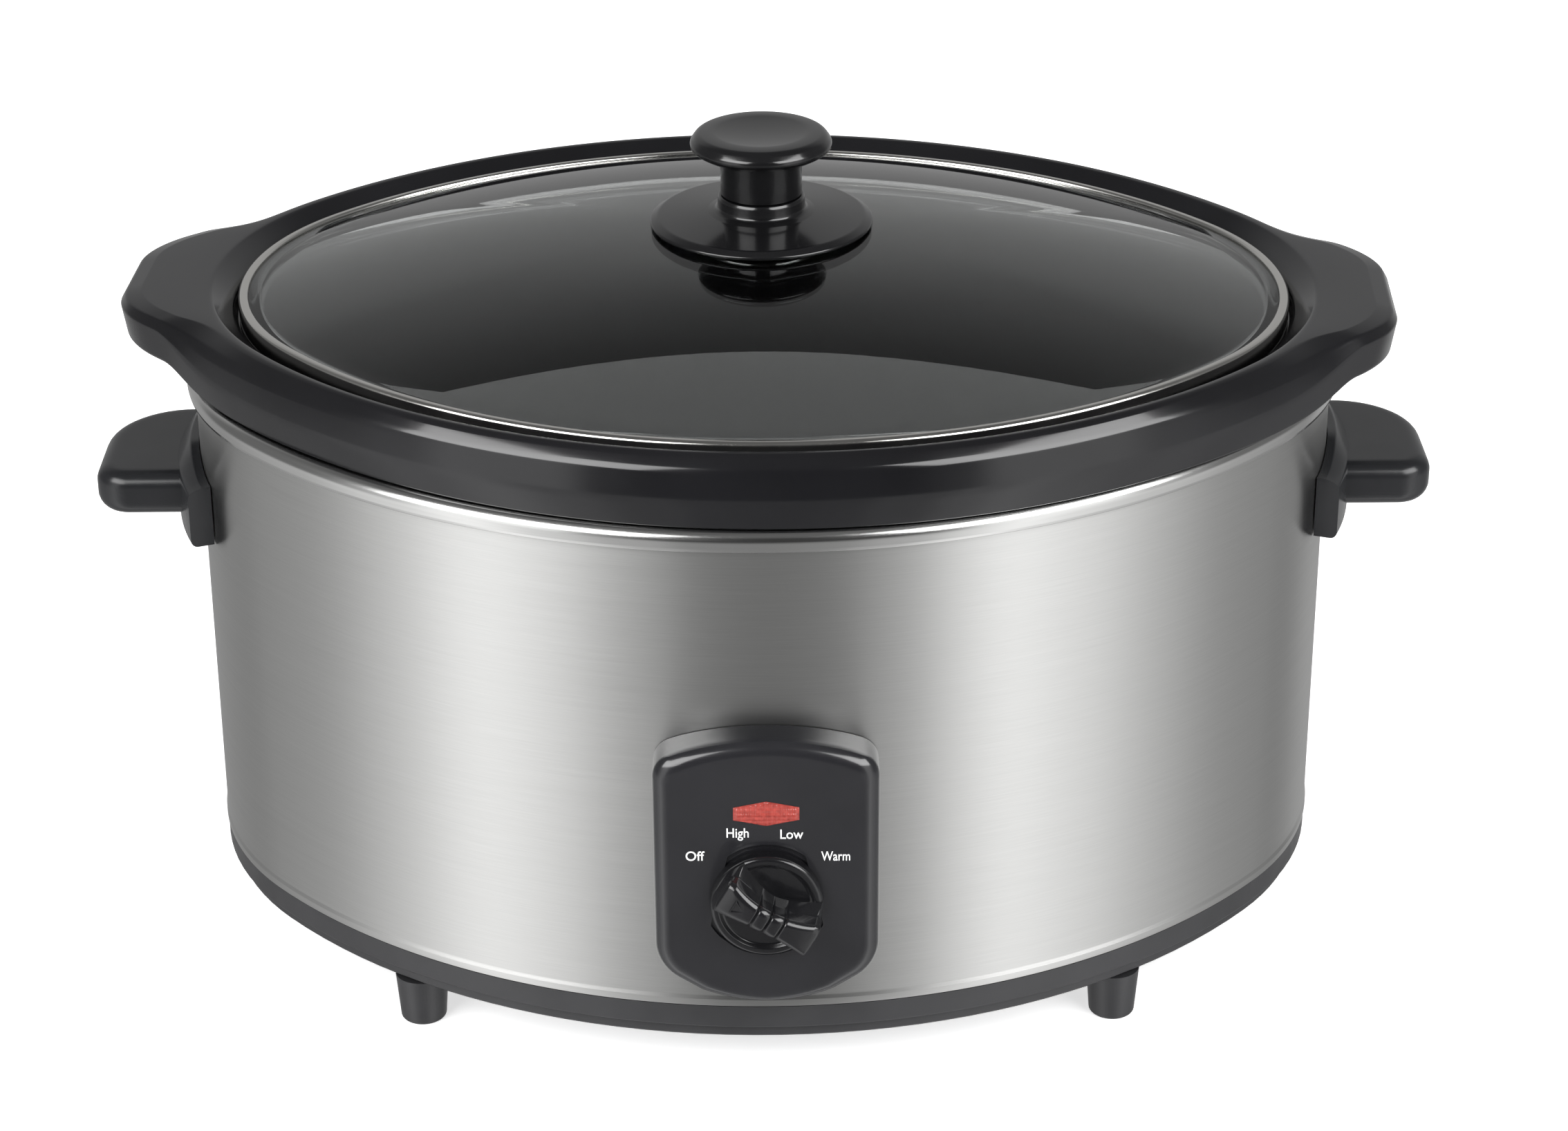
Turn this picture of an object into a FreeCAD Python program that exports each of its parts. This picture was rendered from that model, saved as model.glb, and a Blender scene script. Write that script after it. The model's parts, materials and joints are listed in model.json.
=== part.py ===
"""A countertop slow cooker: an oval steel housing with a heated well, a lift-out stoneware crock and a domed glass lid.

Millimetres, +Z up, X along the width, -Y is the front. The origin is the centre of the
oval, on the plane that the four feet stand on.
"""
import FreeCAD, Part
import Sketcher
import math
import os
import re

V = FreeCAD.Vector
X_AXIS, Y_AXIS, Z_AXIS = V(1, 0, 0), V(0, 1, 0), V(0, 0, 1)

# Driving dimensions: alias, value, what it is.
SIZES = [
    ("half_width", 172.5, "steel wall, half width of the oval"),
    ("half_depth", 133.5, "steel wall, half depth of the oval"),
    ("end_radius", 100.0, "steel wall, radius of the oval's end arcs"),
    ("piece_gap", 0.3, "air between neighbouring pieces"),
    ("foot_height", 15.9, "feet, height under the base"),
    ("foot_spread", 104.3, "feet, half spacing across the width"),
    ("foot_setback", 92.5, "feet, half spacing front to back"),
    ("foot_top", 8.0, "feet, radius at the base"),
    ("foot_toe", 6.8, "feet, radius at the ground"),
    ("step_height", 4.5, "base, height of the inset lower step"),
    ("step_inset", 2.2, "base, how far the lower step stands in"),
    ("band_height", 7.5, "base, height of the band under the steel wall"),
    ("base_wall", 2.4, "base, wall and floor thickness"),
    ("rib_height", 4.0, "base, rib that locates the steel wall"),
    ("casing_height", 147.0, "steel wall, height"),
    ("casing_wall", 0.8, "steel wall, sheet thickness"),
    ("bead_proud", 0.7, "steel wall, bead at the bottom edge"),
    ("bead_height", 2.2, "steel wall, height of that bead"),
    ("lip_height", 6.5, "well, height of the rolled lip"),
    ("lip_proud", 2.4, "well, how far the lip stands outside the wall"),
    ("lip_wall", 1.2, "well, sheet thickness of the lip"),
    ("lip_round", 2.2, "well, rounding of the lip"),
    ("well_inset", 9.7, "well, its outer face inside the steel wall's"),
    ("well_wall", 0.8, "well, sheet thickness"),
    ("well_floor", 48.2, "well, height of the floor's underside"),
    ("heater_thick", 2.0, "heating band, thickness"),
    ("heater_bottom", 62.2, "heating band, lower edge"),
    ("heater_height", 54.0, "heating band, height"),
    ("heater_split", 14.0, "heating band, gap between its ends at the back"),
    ("shield_inset", 5.2, "heat shield, outer face inside the steel wall's"),
    ("shield_wall", 0.5, "heat shield, sheet thickness"),
    ("shield_bottom", 52.2, "heat shield, lower edge"),
    ("shield_height", 100.0, "heat shield, height"),
    ("reflector_inset", 16.0, "reflector plate, edge inside the steel wall"),
    ("reflector_drop", 8.0, "reflector plate, distance under the well"),
    ("reflector_wall", 0.6, "reflector plate, sheet thickness"),
    ("crock_gap", 3.5, "crock, air to the well"),
    ("crock_wall", 8.0, "crock, wall thickness"),
    ("crock_floor", 9.0, "crock, floor thickness"),
    ("crock_lift", 4.0, "crock, air under its floor"),
    ("crock_round", 24.0, "crock, outer radius at the bottom"),
    ("crock_yaw", -3.0, "crock, turn in the well in degrees"),
    ("rim_height", 20.6, "crock, height of the rim over the lip"),
    ("rim_proud", 1.6, "crock, how far the rim stands outside the wall"),
    ("rim_round", 5.5, "crock, rounding of the rim's top edge"),
    ("rim_crest", 2.3, "crock, flat width of the rim's crest"),
    ("seat_depth", 9.0, "crock, depth of the lid's seat"),
    ("lug_angle", 40.5, "crock, angle on the end arc where a lug starts"),
    ("lug_swell", 3.6, "crock, how far a lug's flank stands outside the rim"),
    ("lug_root", 6.0, "crock, angle between a lug's root and its flank"),
    ("lug_rise", 4.0, "crock, how far a lug's underside is above the rim's"),
    ("lug_length", 19.0, "crock, how far the lugs reach beyond the wall"),
    ("lug_reach", "=half_width + lug_length", "crock, half length over the lugs"),
    ("lug_round", 18.0, "crock, rounding of a lug's corners"),
    ("lid_inset", 14.0, "lid, edge inside the steel wall's"),
    ("lid_band", 3.0, "lid, width of the steel rim"),
    ("lid_edge", 7.3, "lid, height of the steel rim"),
    ("lid_sheet", 0.7, "lid, sheet thickness of the steel rim"),
    ("glass_wall", 4.0, "lid, thickness of the glass"),
    ("dome_rise", 21.05, "lid, rise of the glass dome"),
    ("dome_top", 0.2, "lid, share of the dome that is its flat top"),
    ("skirt_radius", 33.7, "knob, radius of the skirt"),
    ("skirt_edge", 1.8, "knob, height of the skirt's edge"),
    ("skirt_height", 4.3, "knob, height of the skirt at the collar"),
    ("collar_height", 8.9, "knob, height of the skirt and its collar"),
    ("stem_radius", 12.7, "knob, radius of the stem"),
    ("stem_height", 12.3, "knob, height of the cap's stem"),
    ("cap_radius", 21.2, "knob, radius of the cap"),
    ("cap_belly", 3.2, "knob, rounding under the cap"),
    ("cap_height", 7.2, "knob, height of the cap"),
    ("cap_round", 3.6, "knob, rounding of the cap's top edge"),
    ("cap_dish", 0.8, "knob, how far the middle of the cap is dished"),
    ("boss_radius", 18.6, "knob, radius of the boss under the glass"),
    ("boss_neck", 10.5, "knob, radius of that boss at the glass"),
    ("boss_drop", 7.0, "knob, depth of that boss"),
    ("boss_edge", 3.0, "knob, thickness of that boss at its edge"),
    ("knob_bolt", 2.5, "knob, radius of its screw"),
    ("handle_length", 30.5, "handles, how far they reach beyond the wall"),
    ("handle_reach", "=half_width + handle_length", "handles, half length over both"),
    ("handle_half", 27.0, "handles, half width"),
    ("handle_round", 22.0, "handles, corner radius in plan"),
    ("handle_drop", 38.7, "handles, the grip's underside below the wall's top edge"),
    ("handle_bottom", "=foot_height + step_height + band_height + casing_height - handle_drop",
     "handles, underside of the grip"),
    ("handle_thick", 14.2, "handles, thickness of the grip"),
    ("handle_edge", 5.5, "handles, rounding of the grip"),
    ("plate_thick", 7.4, "handles, thickness of the wall plate"),
    ("plate_half", 38.0, "handles, half width of the wall plate"),
    ("plate_drop", 4.2, "handles, wall plate under the grip"),
    ("plate_rise", 5.3, "handles, wall plate over the grip"),
    ("plate_taper", 6.0, "handles, how much the plate narrows"),
    ("handle_bolt", 2.4, "handles, radius of the screws"),
    ("handle_pitch", 13.0, "handles, half spacing of the screws"),
    ("bolt_standoff", 2.3, "handles, room for the screw heads inside the wall"),
    ("panel_half", 32.0, "panel, half width"),
    ("panel_depth", 11.5, "panel, how far the face stands off the wall"),
    ("panel_bottom", 35.2, "panel, lower edge at the middle"),
    ("panel_top", 120.9, "panel, upper edge at the middle"),
    ("panel_crown", 7.0, "panel, drop of the upper corners"),
    ("panel_chin", 12.0, "panel, rise of the lower corners"),
    ("panel_wall", 2.5, "panel, wall thickness"),
    ("panel_edge", 1.8, "panel, rounding of the face's edge"),
    ("panel_screw", 23.0, "panel, half spacing of its screws"),
    ("panel_screw_z", 84.2, "panel, height of its screws"),
    ("dial_height", 70.6, "dial, height of its axis"),
    ("dial_radius", 16.0, "dial, radius"),
    ("dial_recess", 18.2, "dial, radius of the recess in the panel"),
    ("dial_sink", 1.2, "dial, depth of that recess"),
    ("dial_thick", 5.0, "dial, thickness of the disc"),
    ("dial_grip", 10.0, "dial, height of the grip over the disc"),
    ("grip_half", 15.0, "dial, half length of the grip"),
    ("grip_end", 5.6, "dial, half width of the grip at its ends"),
    ("grip_waist", 3.6, "dial, half width of the grip at its waist"),
    ("dial_off", 60.0, "dial, turn of the pointer from straight up to Off in degrees"),
    ("shaft_radius", 3.0, "switch, radius of the shaft"),
    ("shaft_slack", 0.05, "switch, radial play of the shaft"),
    ("bush_radius", 5.0, "switch, radius of the threaded bush"),
    ("switch_half", 10.0, "switch, half size of the body"),
    ("switch_deep", 8.0, "switch, depth of the body"),
    ("lens_height", 98.7, "lens, height of its centre"),
    ("lens_half", 9.3, "lens, half length"),
    ("lens_tall", 3.9, "lens, half height at its middle"),
    ("lens_side", 2.0, "lens, half height at its ends"),
    ("lens_proud", 1.0, "lens, how far it stands off the panel"),
    ("gland_height", 40.2, "cord gland, height"),
    ("gland_bore", 3.6, "cord gland, radius of the hole"),
    ("gland_body", 5.6, "cord gland, radius in the wall"),
    ("gland_flange", 8.2, "cord gland, radius of the flanges"),
    ("stud_radius", 2.5, "centre stud, radius"),
]

doc = FreeCAD.newDocument("slow_cooker")
sheet = doc.addObject("Spreadsheet::Sheet", "sizes")
for row, (alias, number, words) in enumerate(SIZES, start=1):
    sheet.set("A%d" % row, words)
    sheet.set("B%d" % row, str(number))
    sheet.setAlias("B%d" % row, alias)
doc.recompute()

ALIAS = re.compile(r"[a-z]+(?:_[a-z]+)+")
pieces = {}


def expression(text):
    """Put the sheet's name before every alias in a formula."""
    return ALIAS.sub(lambda found: "sizes." + found.group(), text)


def value(text):
    """The present value of a formula."""
    number = sheet.evalExpression(expression(text))
    return float(getattr(number, "Value", number))


def bind(thing, name, text):
    thing.setExpression(name, expression(text))


# Heights and the oval, as formulas of the sheet's values.
STEP_Z = "(foot_height + step_height)"
CASING_Z = "(foot_height + step_height + band_height)"
LIP_Z = "(foot_height + step_height + band_height + casing_height)"
LIP_TOP = "(foot_height + step_height + band_height + casing_height + lip_height)"
RIM_Z = "(%s + piece_gap)" % LIP_TOP
RIM_TOP = "(%s + rim_height)" % RIM_Z
SEAT_Z = "(%s - seat_depth)" % RIM_TOP
LID_Z = "(%s + piece_gap)" % SEAT_Z
LID_TOP = "(%s + lid_edge)" % LID_Z
SKIRT_Z = "(%s - lid_sheet + dome_rise * (1 - dome_top ^ 2) + piece_gap)" % LID_TOP
CAP_Z = "(%s + collar_height + piece_gap)" % SKIRT_Z
FACE_Y = "(half_depth + panel_depth)"
END_CENTRE = "(half_width - end_radius)"
LONG_RADIUS = "((%s ^ 2 + half_depth ^ 2 - end_radius ^ 2) / (2 * (half_depth - end_radius)))" % END_CENTRE
CROCK_OUT = "(0 - well_inset - well_wall - crock_gap)"
CROCK_IN = "(0 - well_inset - well_wall - crock_gap - crock_wall)"
CROCK_Z = "(well_floor + well_wall + crock_lift)"
WELL_OUT = "(0 - well_inset)"
WELL_IN = "(0 - well_inset - well_wall)"
SIDES = {"left": -1, "right": 1}
ENDS = {"front": -1, "rear": 1}


def keep(label, thing):
    """Name a finished sub-part; its label is also its file's name."""
    thing.Label = label
    pieces[label] = thing
    return thing


def new_body(label):
    return keep(label, doc.addObject("PartDesign::Body", label))


def plane(body, role):
    return [feature for feature in body.Origin.OriginFeatures if feature.Role == role][0]


def new_sketch(body, role, offset="0"):
    """A sketch on one of the body's own planes, moved along that plane's normal."""
    sketch = body.newObject("Sketcher::SketchObject", body.Name + "_sketch")
    sketch.AttachmentSupport = (plane(body, role), [""])
    sketch.MapMode = "FlatFace"
    bind(sketch, "AttachmentOffset.Base.z", offset)
    return sketch


def limit(sketch, text, kind, *where):
    """Add a dimension that follows a formula."""
    index = sketch.addConstraint(Sketcher.Constraint(kind, *where, value(text)))
    bind(sketch, "Constraints[%d]" % index, text)


def fix_point(sketch, curve, end, x, y):
    limit(sketch, x, "DistanceX", -1, 1, curve, end)
    limit(sketch, y, "DistanceY", -1, 1, curve, end)


def arc(x, y, radius, start, stop):
    circle = Part.Circle(V(x, y, 0), Z_AXIS, radius)
    return Part.ArcOfCircle(circle, math.radians(start), math.radians(stop))


def draw_oval(sketch, offset="0", share="1"):
    """Four tangent arcs; offset moves the outline outwards and share scales the oval."""
    centre = "(%s * %s)" % (share, END_CENTRE)
    small = "(%s * end_radius + %s)" % (share, offset)
    large = "(%s * %s + %s)" % (share, LONG_RADIUS, offset)
    c, k = value(centre), value("%s * (%s - half_depth)" % (share, LONG_RADIUS))
    turn = math.degrees(math.atan2(k, c))
    r, R = value(small), value(large)
    arcs = [arc(c, 0, r, -turn, turn), arc(0, -k, R, turn, 180 - turn),
            arc(-c, 0, r, 180 - turn, 180 + turn), arc(0, k, R, 180 + turn, 360 - turn)]
    curves = [sketch.addGeometry(piece, False) for piece in arcs]
    for first, second in zip(curves, curves[1:] + curves[:1]):
        sketch.addConstraint(Sketcher.Constraint("Tangent", first, 2, second, 1))
    sketch.addConstraint(Sketcher.Constraint("PointOnObject", curves[0], 3, -1))
    sketch.addConstraint(Sketcher.Constraint("Symmetric", curves[0], 3, curves[2], 3, -1, 1))
    sketch.addConstraint(Sketcher.Constraint("Equal", curves[0], curves[2]))
    sketch.addConstraint(Sketcher.Constraint("Equal", curves[1], curves[3]))
    limit(sketch, centre, "DistanceX", -1, 1, curves[0], 3)
    limit(sketch, small, "Radius", curves[0])
    limit(sketch, large, "Radius", curves[1])


def draw_circle(sketch, x, y, radius):
    circle = Part.Circle(V(value(x), value(y), 0), Z_AXIS, value(radius))
    curve = sketch.addGeometry(circle, False)
    fix_point(sketch, curve, 3, x, y)
    limit(sketch, radius, "Radius", curve)


def draw_outline(sketch, corners):
    """A closed outline. A corner is (x, y), or (x, y, radius, way) where an arc leads to the
    next corner: way 1 keeps the arc's centre on the left, way -1 on the right."""
    spots = [V(value(corner[0]), value(corner[1]), 0) for corner in corners]
    curves = []
    for number, corner in enumerate(corners):
        start, stop = spots[number], spots[(number + 1) % len(spots)]
        if len(corner) == 2:
            curves.append((sketch.addGeometry(Part.LineSegment(start, stop), False), 1, 2))
            continue
        radius, way = value(corner[2]), corner[3]
        chord = stop - start
        reach = math.sqrt(radius ** 2 - (chord.Length / 2) ** 2)
        centre = (start + stop) * 0.5 + V(-chord.y, chord.x, 0).normalize() * reach * way
        ends = [math.degrees(math.atan2(spot.y - centre.y, spot.x - centre.x)) for spot in (start, stop)]
        first, last = ends if way == 1 else ends[::-1]
        last += 360 if last < first else 0
        curve = sketch.addGeometry(arc(centre.x, centre.y, radius, first, last), False)
        limit(sketch, corner[2], "Radius", curve)
        curves.append((curve, 1, 2) if way == 1 else (curve, 2, 1))
    for number, (curve, head, tail) in enumerate(curves):
        following = curves[(number + 1) % len(curves)]
        sketch.addConstraint(Sketcher.Constraint("Coincident", curve, tail, following[0], following[1]))
        fix_point(sketch, curve, head, corners[number][0], corners[number][1])


def add_feature(body, kind, sketch, length, reverse=False):
    feature = body.newObject("PartDesign::" + kind, body.Name + "_" + kind.lower())
    feature.Profile = sketch
    bind(feature, "Length", length)
    feature.Reversed = reverse
    sketch.Visibility = False
    return feature


def pad(body, sketch, length, reverse=False):
    return add_feature(body, "Pad", sketch, length, reverse)


def cut(body, sketch, length, reverse=False):
    """A pocket; it must take material away."""
    doc.recompute()
    before = body.Shape.Volume
    feature = add_feature(body, "Pocket", sketch, length, reverse)
    doc.recompute()
    if body.Shape.Volume > before - 0.01:
        raise RuntimeError("a pocket cuts nothing in " + body.Label)
    return feature


def pad_ring(body, z, height, outside, inside):
    """A ring of the oval between two offsets."""
    sketch = new_sketch(body, "XY_Plane", z)
    draw_oval(sketch, outside)
    draw_oval(sketch, inside)
    return pad(body, sketch, height)


def pad_plate(body, z, height, edge):
    sketch = new_sketch(body, "XY_Plane", z)
    draw_oval(sketch, edge)
    return pad(body, sketch, height)


def round_edges(body, radius, wanted, kind="Fillet"):
    """Round, or chamfer, the edges of the body that a test picks out."""
    doc.recompute()
    base = body.Tip
    names = ["Edge%d" % number for number, edge in enumerate(base.Shape.Edges, start=1) if wanted(edge)]
    if not names:
        raise RuntimeError("no edge to round in " + body.Label)
    feature = body.newObject("PartDesign::" + kind, body.Name + "_" + kind.lower())
    feature.Base = (base, names)
    bind(feature, "Radius" if kind == "Fillet" else "Size", radius)
    return feature


def level_edges(z, outside=None, inside=None):
    """A test for edges that lie at one height, further out or further in than a formula."""
    height = value(z)

    def wanted(edge):
        box = edge.BoundBox
        if abs(box.ZMin - height) > 1e-4 or abs(box.ZMax - height) > 1e-4:
            return False
        middle = edge.valueAt((edge.FirstParameter + edge.LastParameter) / 2)
        depth = oval_offset(middle)
        return (outside is None or depth > value(outside)) and (inside is None or depth < value(inside))
    return wanted


def oval_offset(point):
    """How far a point lies outside the steel wall's oval, in plan."""
    c, R = value(END_CENTRE), value(LONG_RADIUS)
    k = R - value("half_depth")
    x, y = abs(point.x), abs(point.y)
    if math.atan2(y, x - c) <= math.atan2(k, c):
        return math.hypot(x - c, y) - value("end_radius")
    return math.hypot(x, y + k) - R


def revolve(body, role, axis, corners):
    sketch = new_sketch(body, role)
    draw_outline(sketch, corners)
    feature = body.newObject("PartDesign::Revolution", body.Name + "_revolution")
    feature.Profile = sketch
    feature.ReferenceAxis = (sketch, [axis])
    feature.Angle = 360
    return feature


def turned(label, corners, x="0", y="0", z="0"):
    """A turned piece about +Z; corners are (radius, height)."""
    body = new_body(label)
    revolve(body, "XZ_Plane", "V_Axis", corners)
    place(body, x, y, z)
    return body


def turned_front(label, corners, x="0", y="0", z="0"):
    """A turned piece about +Y; corners are (distance along Y, radius)."""
    body = new_body(label)
    revolve(body, "YZ_Plane", "H_Axis", corners)
    place(body, x, y, z)
    return body


def place(thing, x="0", y="0", z="0"):
    for name, text in (("x", x), ("y", y), ("z", z)):
        bind(thing, "Placement.Base." + name, text)


def cylinder(name, radius, length, x, y, z, axis=Z_AXIS):
    thing = doc.addObject("Part::Cylinder", name)
    bind(thing, "Radius", radius)
    bind(thing, "Height", length)
    thing.Placement = FreeCAD.Placement(V(), FreeCAD.Rotation(Z_AXIS, axis))
    place(thing, x, y, z)
    return thing


def block(name, x, y, z):
    """A box from three pairs of formulas, low and high."""
    thing = doc.addObject("Part::Box", name)
    for side, (low, high) in zip(("Length", "Width", "Height"), (x, y, z)):
        bind(thing, side, "(%s) - (%s)" % (high, low))
    place(thing, x[0], y[0], z[0])
    return thing


def combine(kind, name, base, tool):
    thing = doc.addObject("Part::" + kind, name)
    thing.Base, thing.Tool = base, tool
    return thing


def group(label, things):
    compound = keep(label, doc.addObject("Part::Compound", label))
    compound.Links = things
    return compound


def screw(name, x, y, z, axis, shank, length, head, cap):
    """A pan-head screw whose shank starts at (x, y, z) and whose head lies behind that point."""
    back = [text + " - (%g) * (%s)" % (part, cap) for text, part in zip((x, y, z), axis)]
    bolt = cylinder(name + "_shank", shank, length, x, y, z, axis)
    top = cylinder(name + "_head", head, cap, back[0], back[1], back[2], axis)
    return combine("Fuse", name, bolt, top)


def corner_name(end, side):
    return "%s_%s" % (end, side)


# ---------------------------------------------------------------- housing

def make_casing():
    """The steel wall: a wrapped oval sheet with a bead at its bottom edge."""
    body = new_body("outer_casing")
    pad_ring(body, CASING_Z, "casing_height", "0", "0 - casing_wall")
    pad_ring(body, CASING_Z, "bead_height", "bead_proud", "0 - casing_wall")
    window = new_sketch(body, "XZ_Plane", "half_depth + 5")
    draw_outline(window, rectangle("0 - switch_half - 2", "switch_half + 2",
                                   "dial_height - switch_half - 2", "lens_height + lens_tall + 2"))
    cut(body, window, "20")
    screws = new_sketch(body, "XZ_Plane", "half_depth + 5")
    for side in SIDES.values():
        draw_circle(screws, "%d * panel_screw" % side, "panel_screw_z", "1.6")
    cut(body, screws, "20")
    for side in SIDES.values():
        holes = new_sketch(body, "YZ_Plane", "%d * (half_width + 5)" % side)
        for end in ENDS.values():
            draw_circle(holes, "%d * handle_pitch" % end, "handle_bottom + handle_thick / 2", "handle_bolt + 0.3")
        cut(body, holes, "20", side < 0)
    outlet = new_sketch(body, "XZ_Plane", "0 - half_depth - 5")
    draw_circle(outlet, "0", "gland_height", "gland_body + piece_gap")
    cut(body, outlet, "20", True)


def rectangle(left, right, low, high):
    return [(left, low), (right, low), (right, high), (left, high)]


def make_well():
    """The heated well: a sheet pan whose rolled lip covers the top edge of the steel wall."""
    body = new_body("heating_well")
    pad_ring(body, "well_floor", "%s - well_floor" % LIP_TOP, WELL_OUT, WELL_IN)
    pad_plate(body, "well_floor", "well_wall", WELL_OUT)
    pad_ring(body, "%s - lip_wall" % LIP_TOP, "lip_wall", "lip_proud", WELL_IN)
    pad_ring(body, "%s + piece_gap" % LIP_Z, "lip_height - piece_gap", "lip_proud", "lip_proud - lip_wall")
    round_edges(body, "lip_round", level_edges(LIP_TOP, outside="0"))
    round_edges(body, "well_wall / 2", level_edges(LIP_TOP, inside="0 - well_inset"))


def make_heater():
    """The heating band round the well, split at the back where a clasp draws it tight."""
    body = new_body("heater_band")
    inner = "(piece_gap - well_inset)"
    pad_ring(body, "heater_bottom", "heater_height", "%s + heater_thick" % inner, inner)
    split = new_sketch(body, "XZ_Plane", "0 - half_depth - 5")
    draw_outline(split, rectangle("0 - heater_split / 2", "heater_split / 2",
                                  "heater_bottom - 1", "heater_bottom + heater_height + 1"))
    cut(body, split, "30", True)
    back = "(half_depth - well_inset)"
    width = ("piece_gap - heater_split / 2", "heater_split / 2 - piece_gap")
    depth = (back + " + piece_gap", back + " + piece_gap + heater_thick")
    clasp = block("clasp", width, depth, ("heater_bottom + 12", "heater_bottom + heater_height - 12"))
    keep("heater_clasp", clasp)


def make_shields():
    """A sheet-steel shield round the heater and a reflector plate under the well."""
    body = new_body("heat_shield")
    pad_ring(body, "shield_bottom", "shield_height", "0 - shield_inset", "0 - shield_inset - shield_wall")
    plate = new_body("reflector_plate")
    pad_plate(plate, "well_floor - reflector_drop", "reflector_wall", "0 - reflector_inset")
    hole = new_sketch(plate, "XY_Plane", "well_floor")
    draw_circle(hole, "0", "0", "stud_radius + 0.5")
    cut(plate, hole, "well_floor")
    round_edges(plate, "reflector_wall / 3", level_edges("well_floor - reflector_drop", outside="0 - reflector_inset - 1"))


def make_base():
    """The moulded base: a floor, an inset lower step, a band flush with the wall, a rib and foot bosses."""
    body = new_body("base_pan")
    pad_plate(body, "foot_height", "base_wall", "0 - step_inset")
    pad_ring(body, "foot_height", "step_height", "0 - step_inset", "0 - step_inset - base_wall")
    pad_ring(body, STEP_Z, "band_height - piece_gap", "0", "0 - step_inset - base_wall")
    pad_ring(body, STEP_Z, "band_height + rib_height", "0 - casing_wall - piece_gap", "0 - step_inset - base_wall")
    bosses = new_sketch(body, "XY_Plane", "foot_height")
    for side in SIDES.values():
        for end in ENDS.values():
            draw_circle(bosses, "%d * foot_spread" % side, "%d * foot_setback" % end, "foot_top - 2")
    pad(body, bosses, "step_height + band_height")
    holes = new_sketch(body, "XY_Plane", "%s + 1" % CASING_Z)
    for side in SIDES.values():
        for end in ENDS.values():
            draw_circle(holes, "%d * foot_spread" % side, "%d * foot_setback" % end, "2.2")
    draw_circle(holes, "0", "0", "stud_radius + 0.4")
    cut(body, holes, "casing_height")
    vents = new_sketch(body, "XY_Plane", "%s + 1" % STEP_Z)
    for number in range(-2, 3):
        if number:
            draw_outline(vents, slot("%d * 18" % number, "0", "22", "2.5"))
    cut(body, vents, "casing_height")
    round_edges(body, "0.8", level_edges("foot_height", outside="0 - step_inset - 1"), "Chamfer")
    round_edges(body, "0.6", level_edges(STEP_Z, outside="0 - 1"))


def slot(x, y, half, radius):
    """A slot along Y: two straight sides and two half-round ends, each made of two arcs."""
    low, high = "%s - %s" % (y, half), "%s + %s" % (y, half)
    left, right = "%s - %s" % (x, radius), "%s + %s" % (x, radius)
    return [(right, low), (right, high, radius, 1), (x, "%s + %s" % (high, radius), radius, 1),
            (left, high), (left, low, radius, 1), (x, "%s - %s" % (low, radius), radius, 1)]


def make_feet():
    screws = []
    for end, y in ENDS.items():
        for side, x in SIDES.items():
            name = corner_name(end, side)
            spot = ("%d * foot_spread" % x, "%d * foot_setback" % y)
            foot = turned("foot_" + name, [
                ("3.8", "0"), ("foot_toe", "0"), ("foot_top", "foot_height - piece_gap"),
                ("2.2", "foot_height - piece_gap"), ("2.2", "5"), ("3.8", "5")], spot[0], spot[1])
            round_edges(foot, "1.2", lambda edge: ring_at(edge, "0", "foot_toe"))
            screws.append(screw("foot_screw_" + name, spot[0], spot[1], "4.8", Z_AXIS,
                                "1.9", "foot_height + 3", "3.4", "2.2"))
    group("foot_screws", screws)


def ring_at(edge, z, radius):
    """True for a circle about the vertical axis at one height, with one radius."""
    box = edge.BoundBox
    return abs(box.ZMin - value(z)) < 1e-4 and abs(box.ZMax - value(z)) < 1e-4 \
        and abs(box.XLength / 2 - value(radius)) < 0.02


def make_tie():
    """The stud that ties the well to the base, with its washer and nut under the base."""
    bottom = "foot_height - 6"
    keep("centre_stud", cylinder("stud", "stud_radius", "well_floor - piece_gap - (%s)" % bottom, "0", "0", bottom))
    outer = cylinder("washer_disc", "7", "1", "0", "0", "foot_height - piece_gap - 1")
    inner = cylinder("washer_hole", "stud_radius + 0.3", "3", "0", "0", "foot_height - piece_gap - 2")
    keep("centre_washer", combine("Cut", "tie_washer", outer, inner))
    nut = doc.addObject("Part::Prism", "nut_blank")
    nut.Polygon = 6
    bind(nut, "Circumradius", "stud_radius * 1.9")
    bind(nut, "Height", "3.4")
    place(nut, "0", "0", "foot_height - 2 * piece_gap - 4.4")
    bore = cylinder("nut_hole", "stud_radius + 0.02", "8", "0", "0", "foot_height - 8")
    keep("centre_nut", combine("Cut", "tie_nut", nut, bore))


# ---------------------------------------------------------------- control panel

def panel_outline(inset):
    """The panel's face in X and Z: straight sides, a crowned top and a rounder chin."""
    half = "(panel_half - %s)" % inset
    top, bottom = "(panel_top - %s)" % inset, "(panel_bottom + %s)" % inset
    crown = "((%s ^ 2 + panel_crown ^ 2) / (2 * panel_crown))" % half
    chin = "((%s ^ 2 + panel_chin ^ 2) / (2 * panel_chin))" % half
    return [("0 - " + half, bottom + " + panel_chin", chin, 1), (half, bottom + " + panel_chin"),
            (half, top + " - panel_crown", crown, 1), ("0 - " + half, top + " - panel_crown")]


def upright_corner(edge, x, low, high):
    """True for a straight edge along Y at a given X and between two heights."""
    box = edge.BoundBox
    return box.YLength > 1 and box.XLength < 1e-4 and box.ZLength < 1e-4 \
        and abs(abs(box.XMin) - value(x)) < 1e-3 and value(low) < box.ZMin < value(high)


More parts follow.
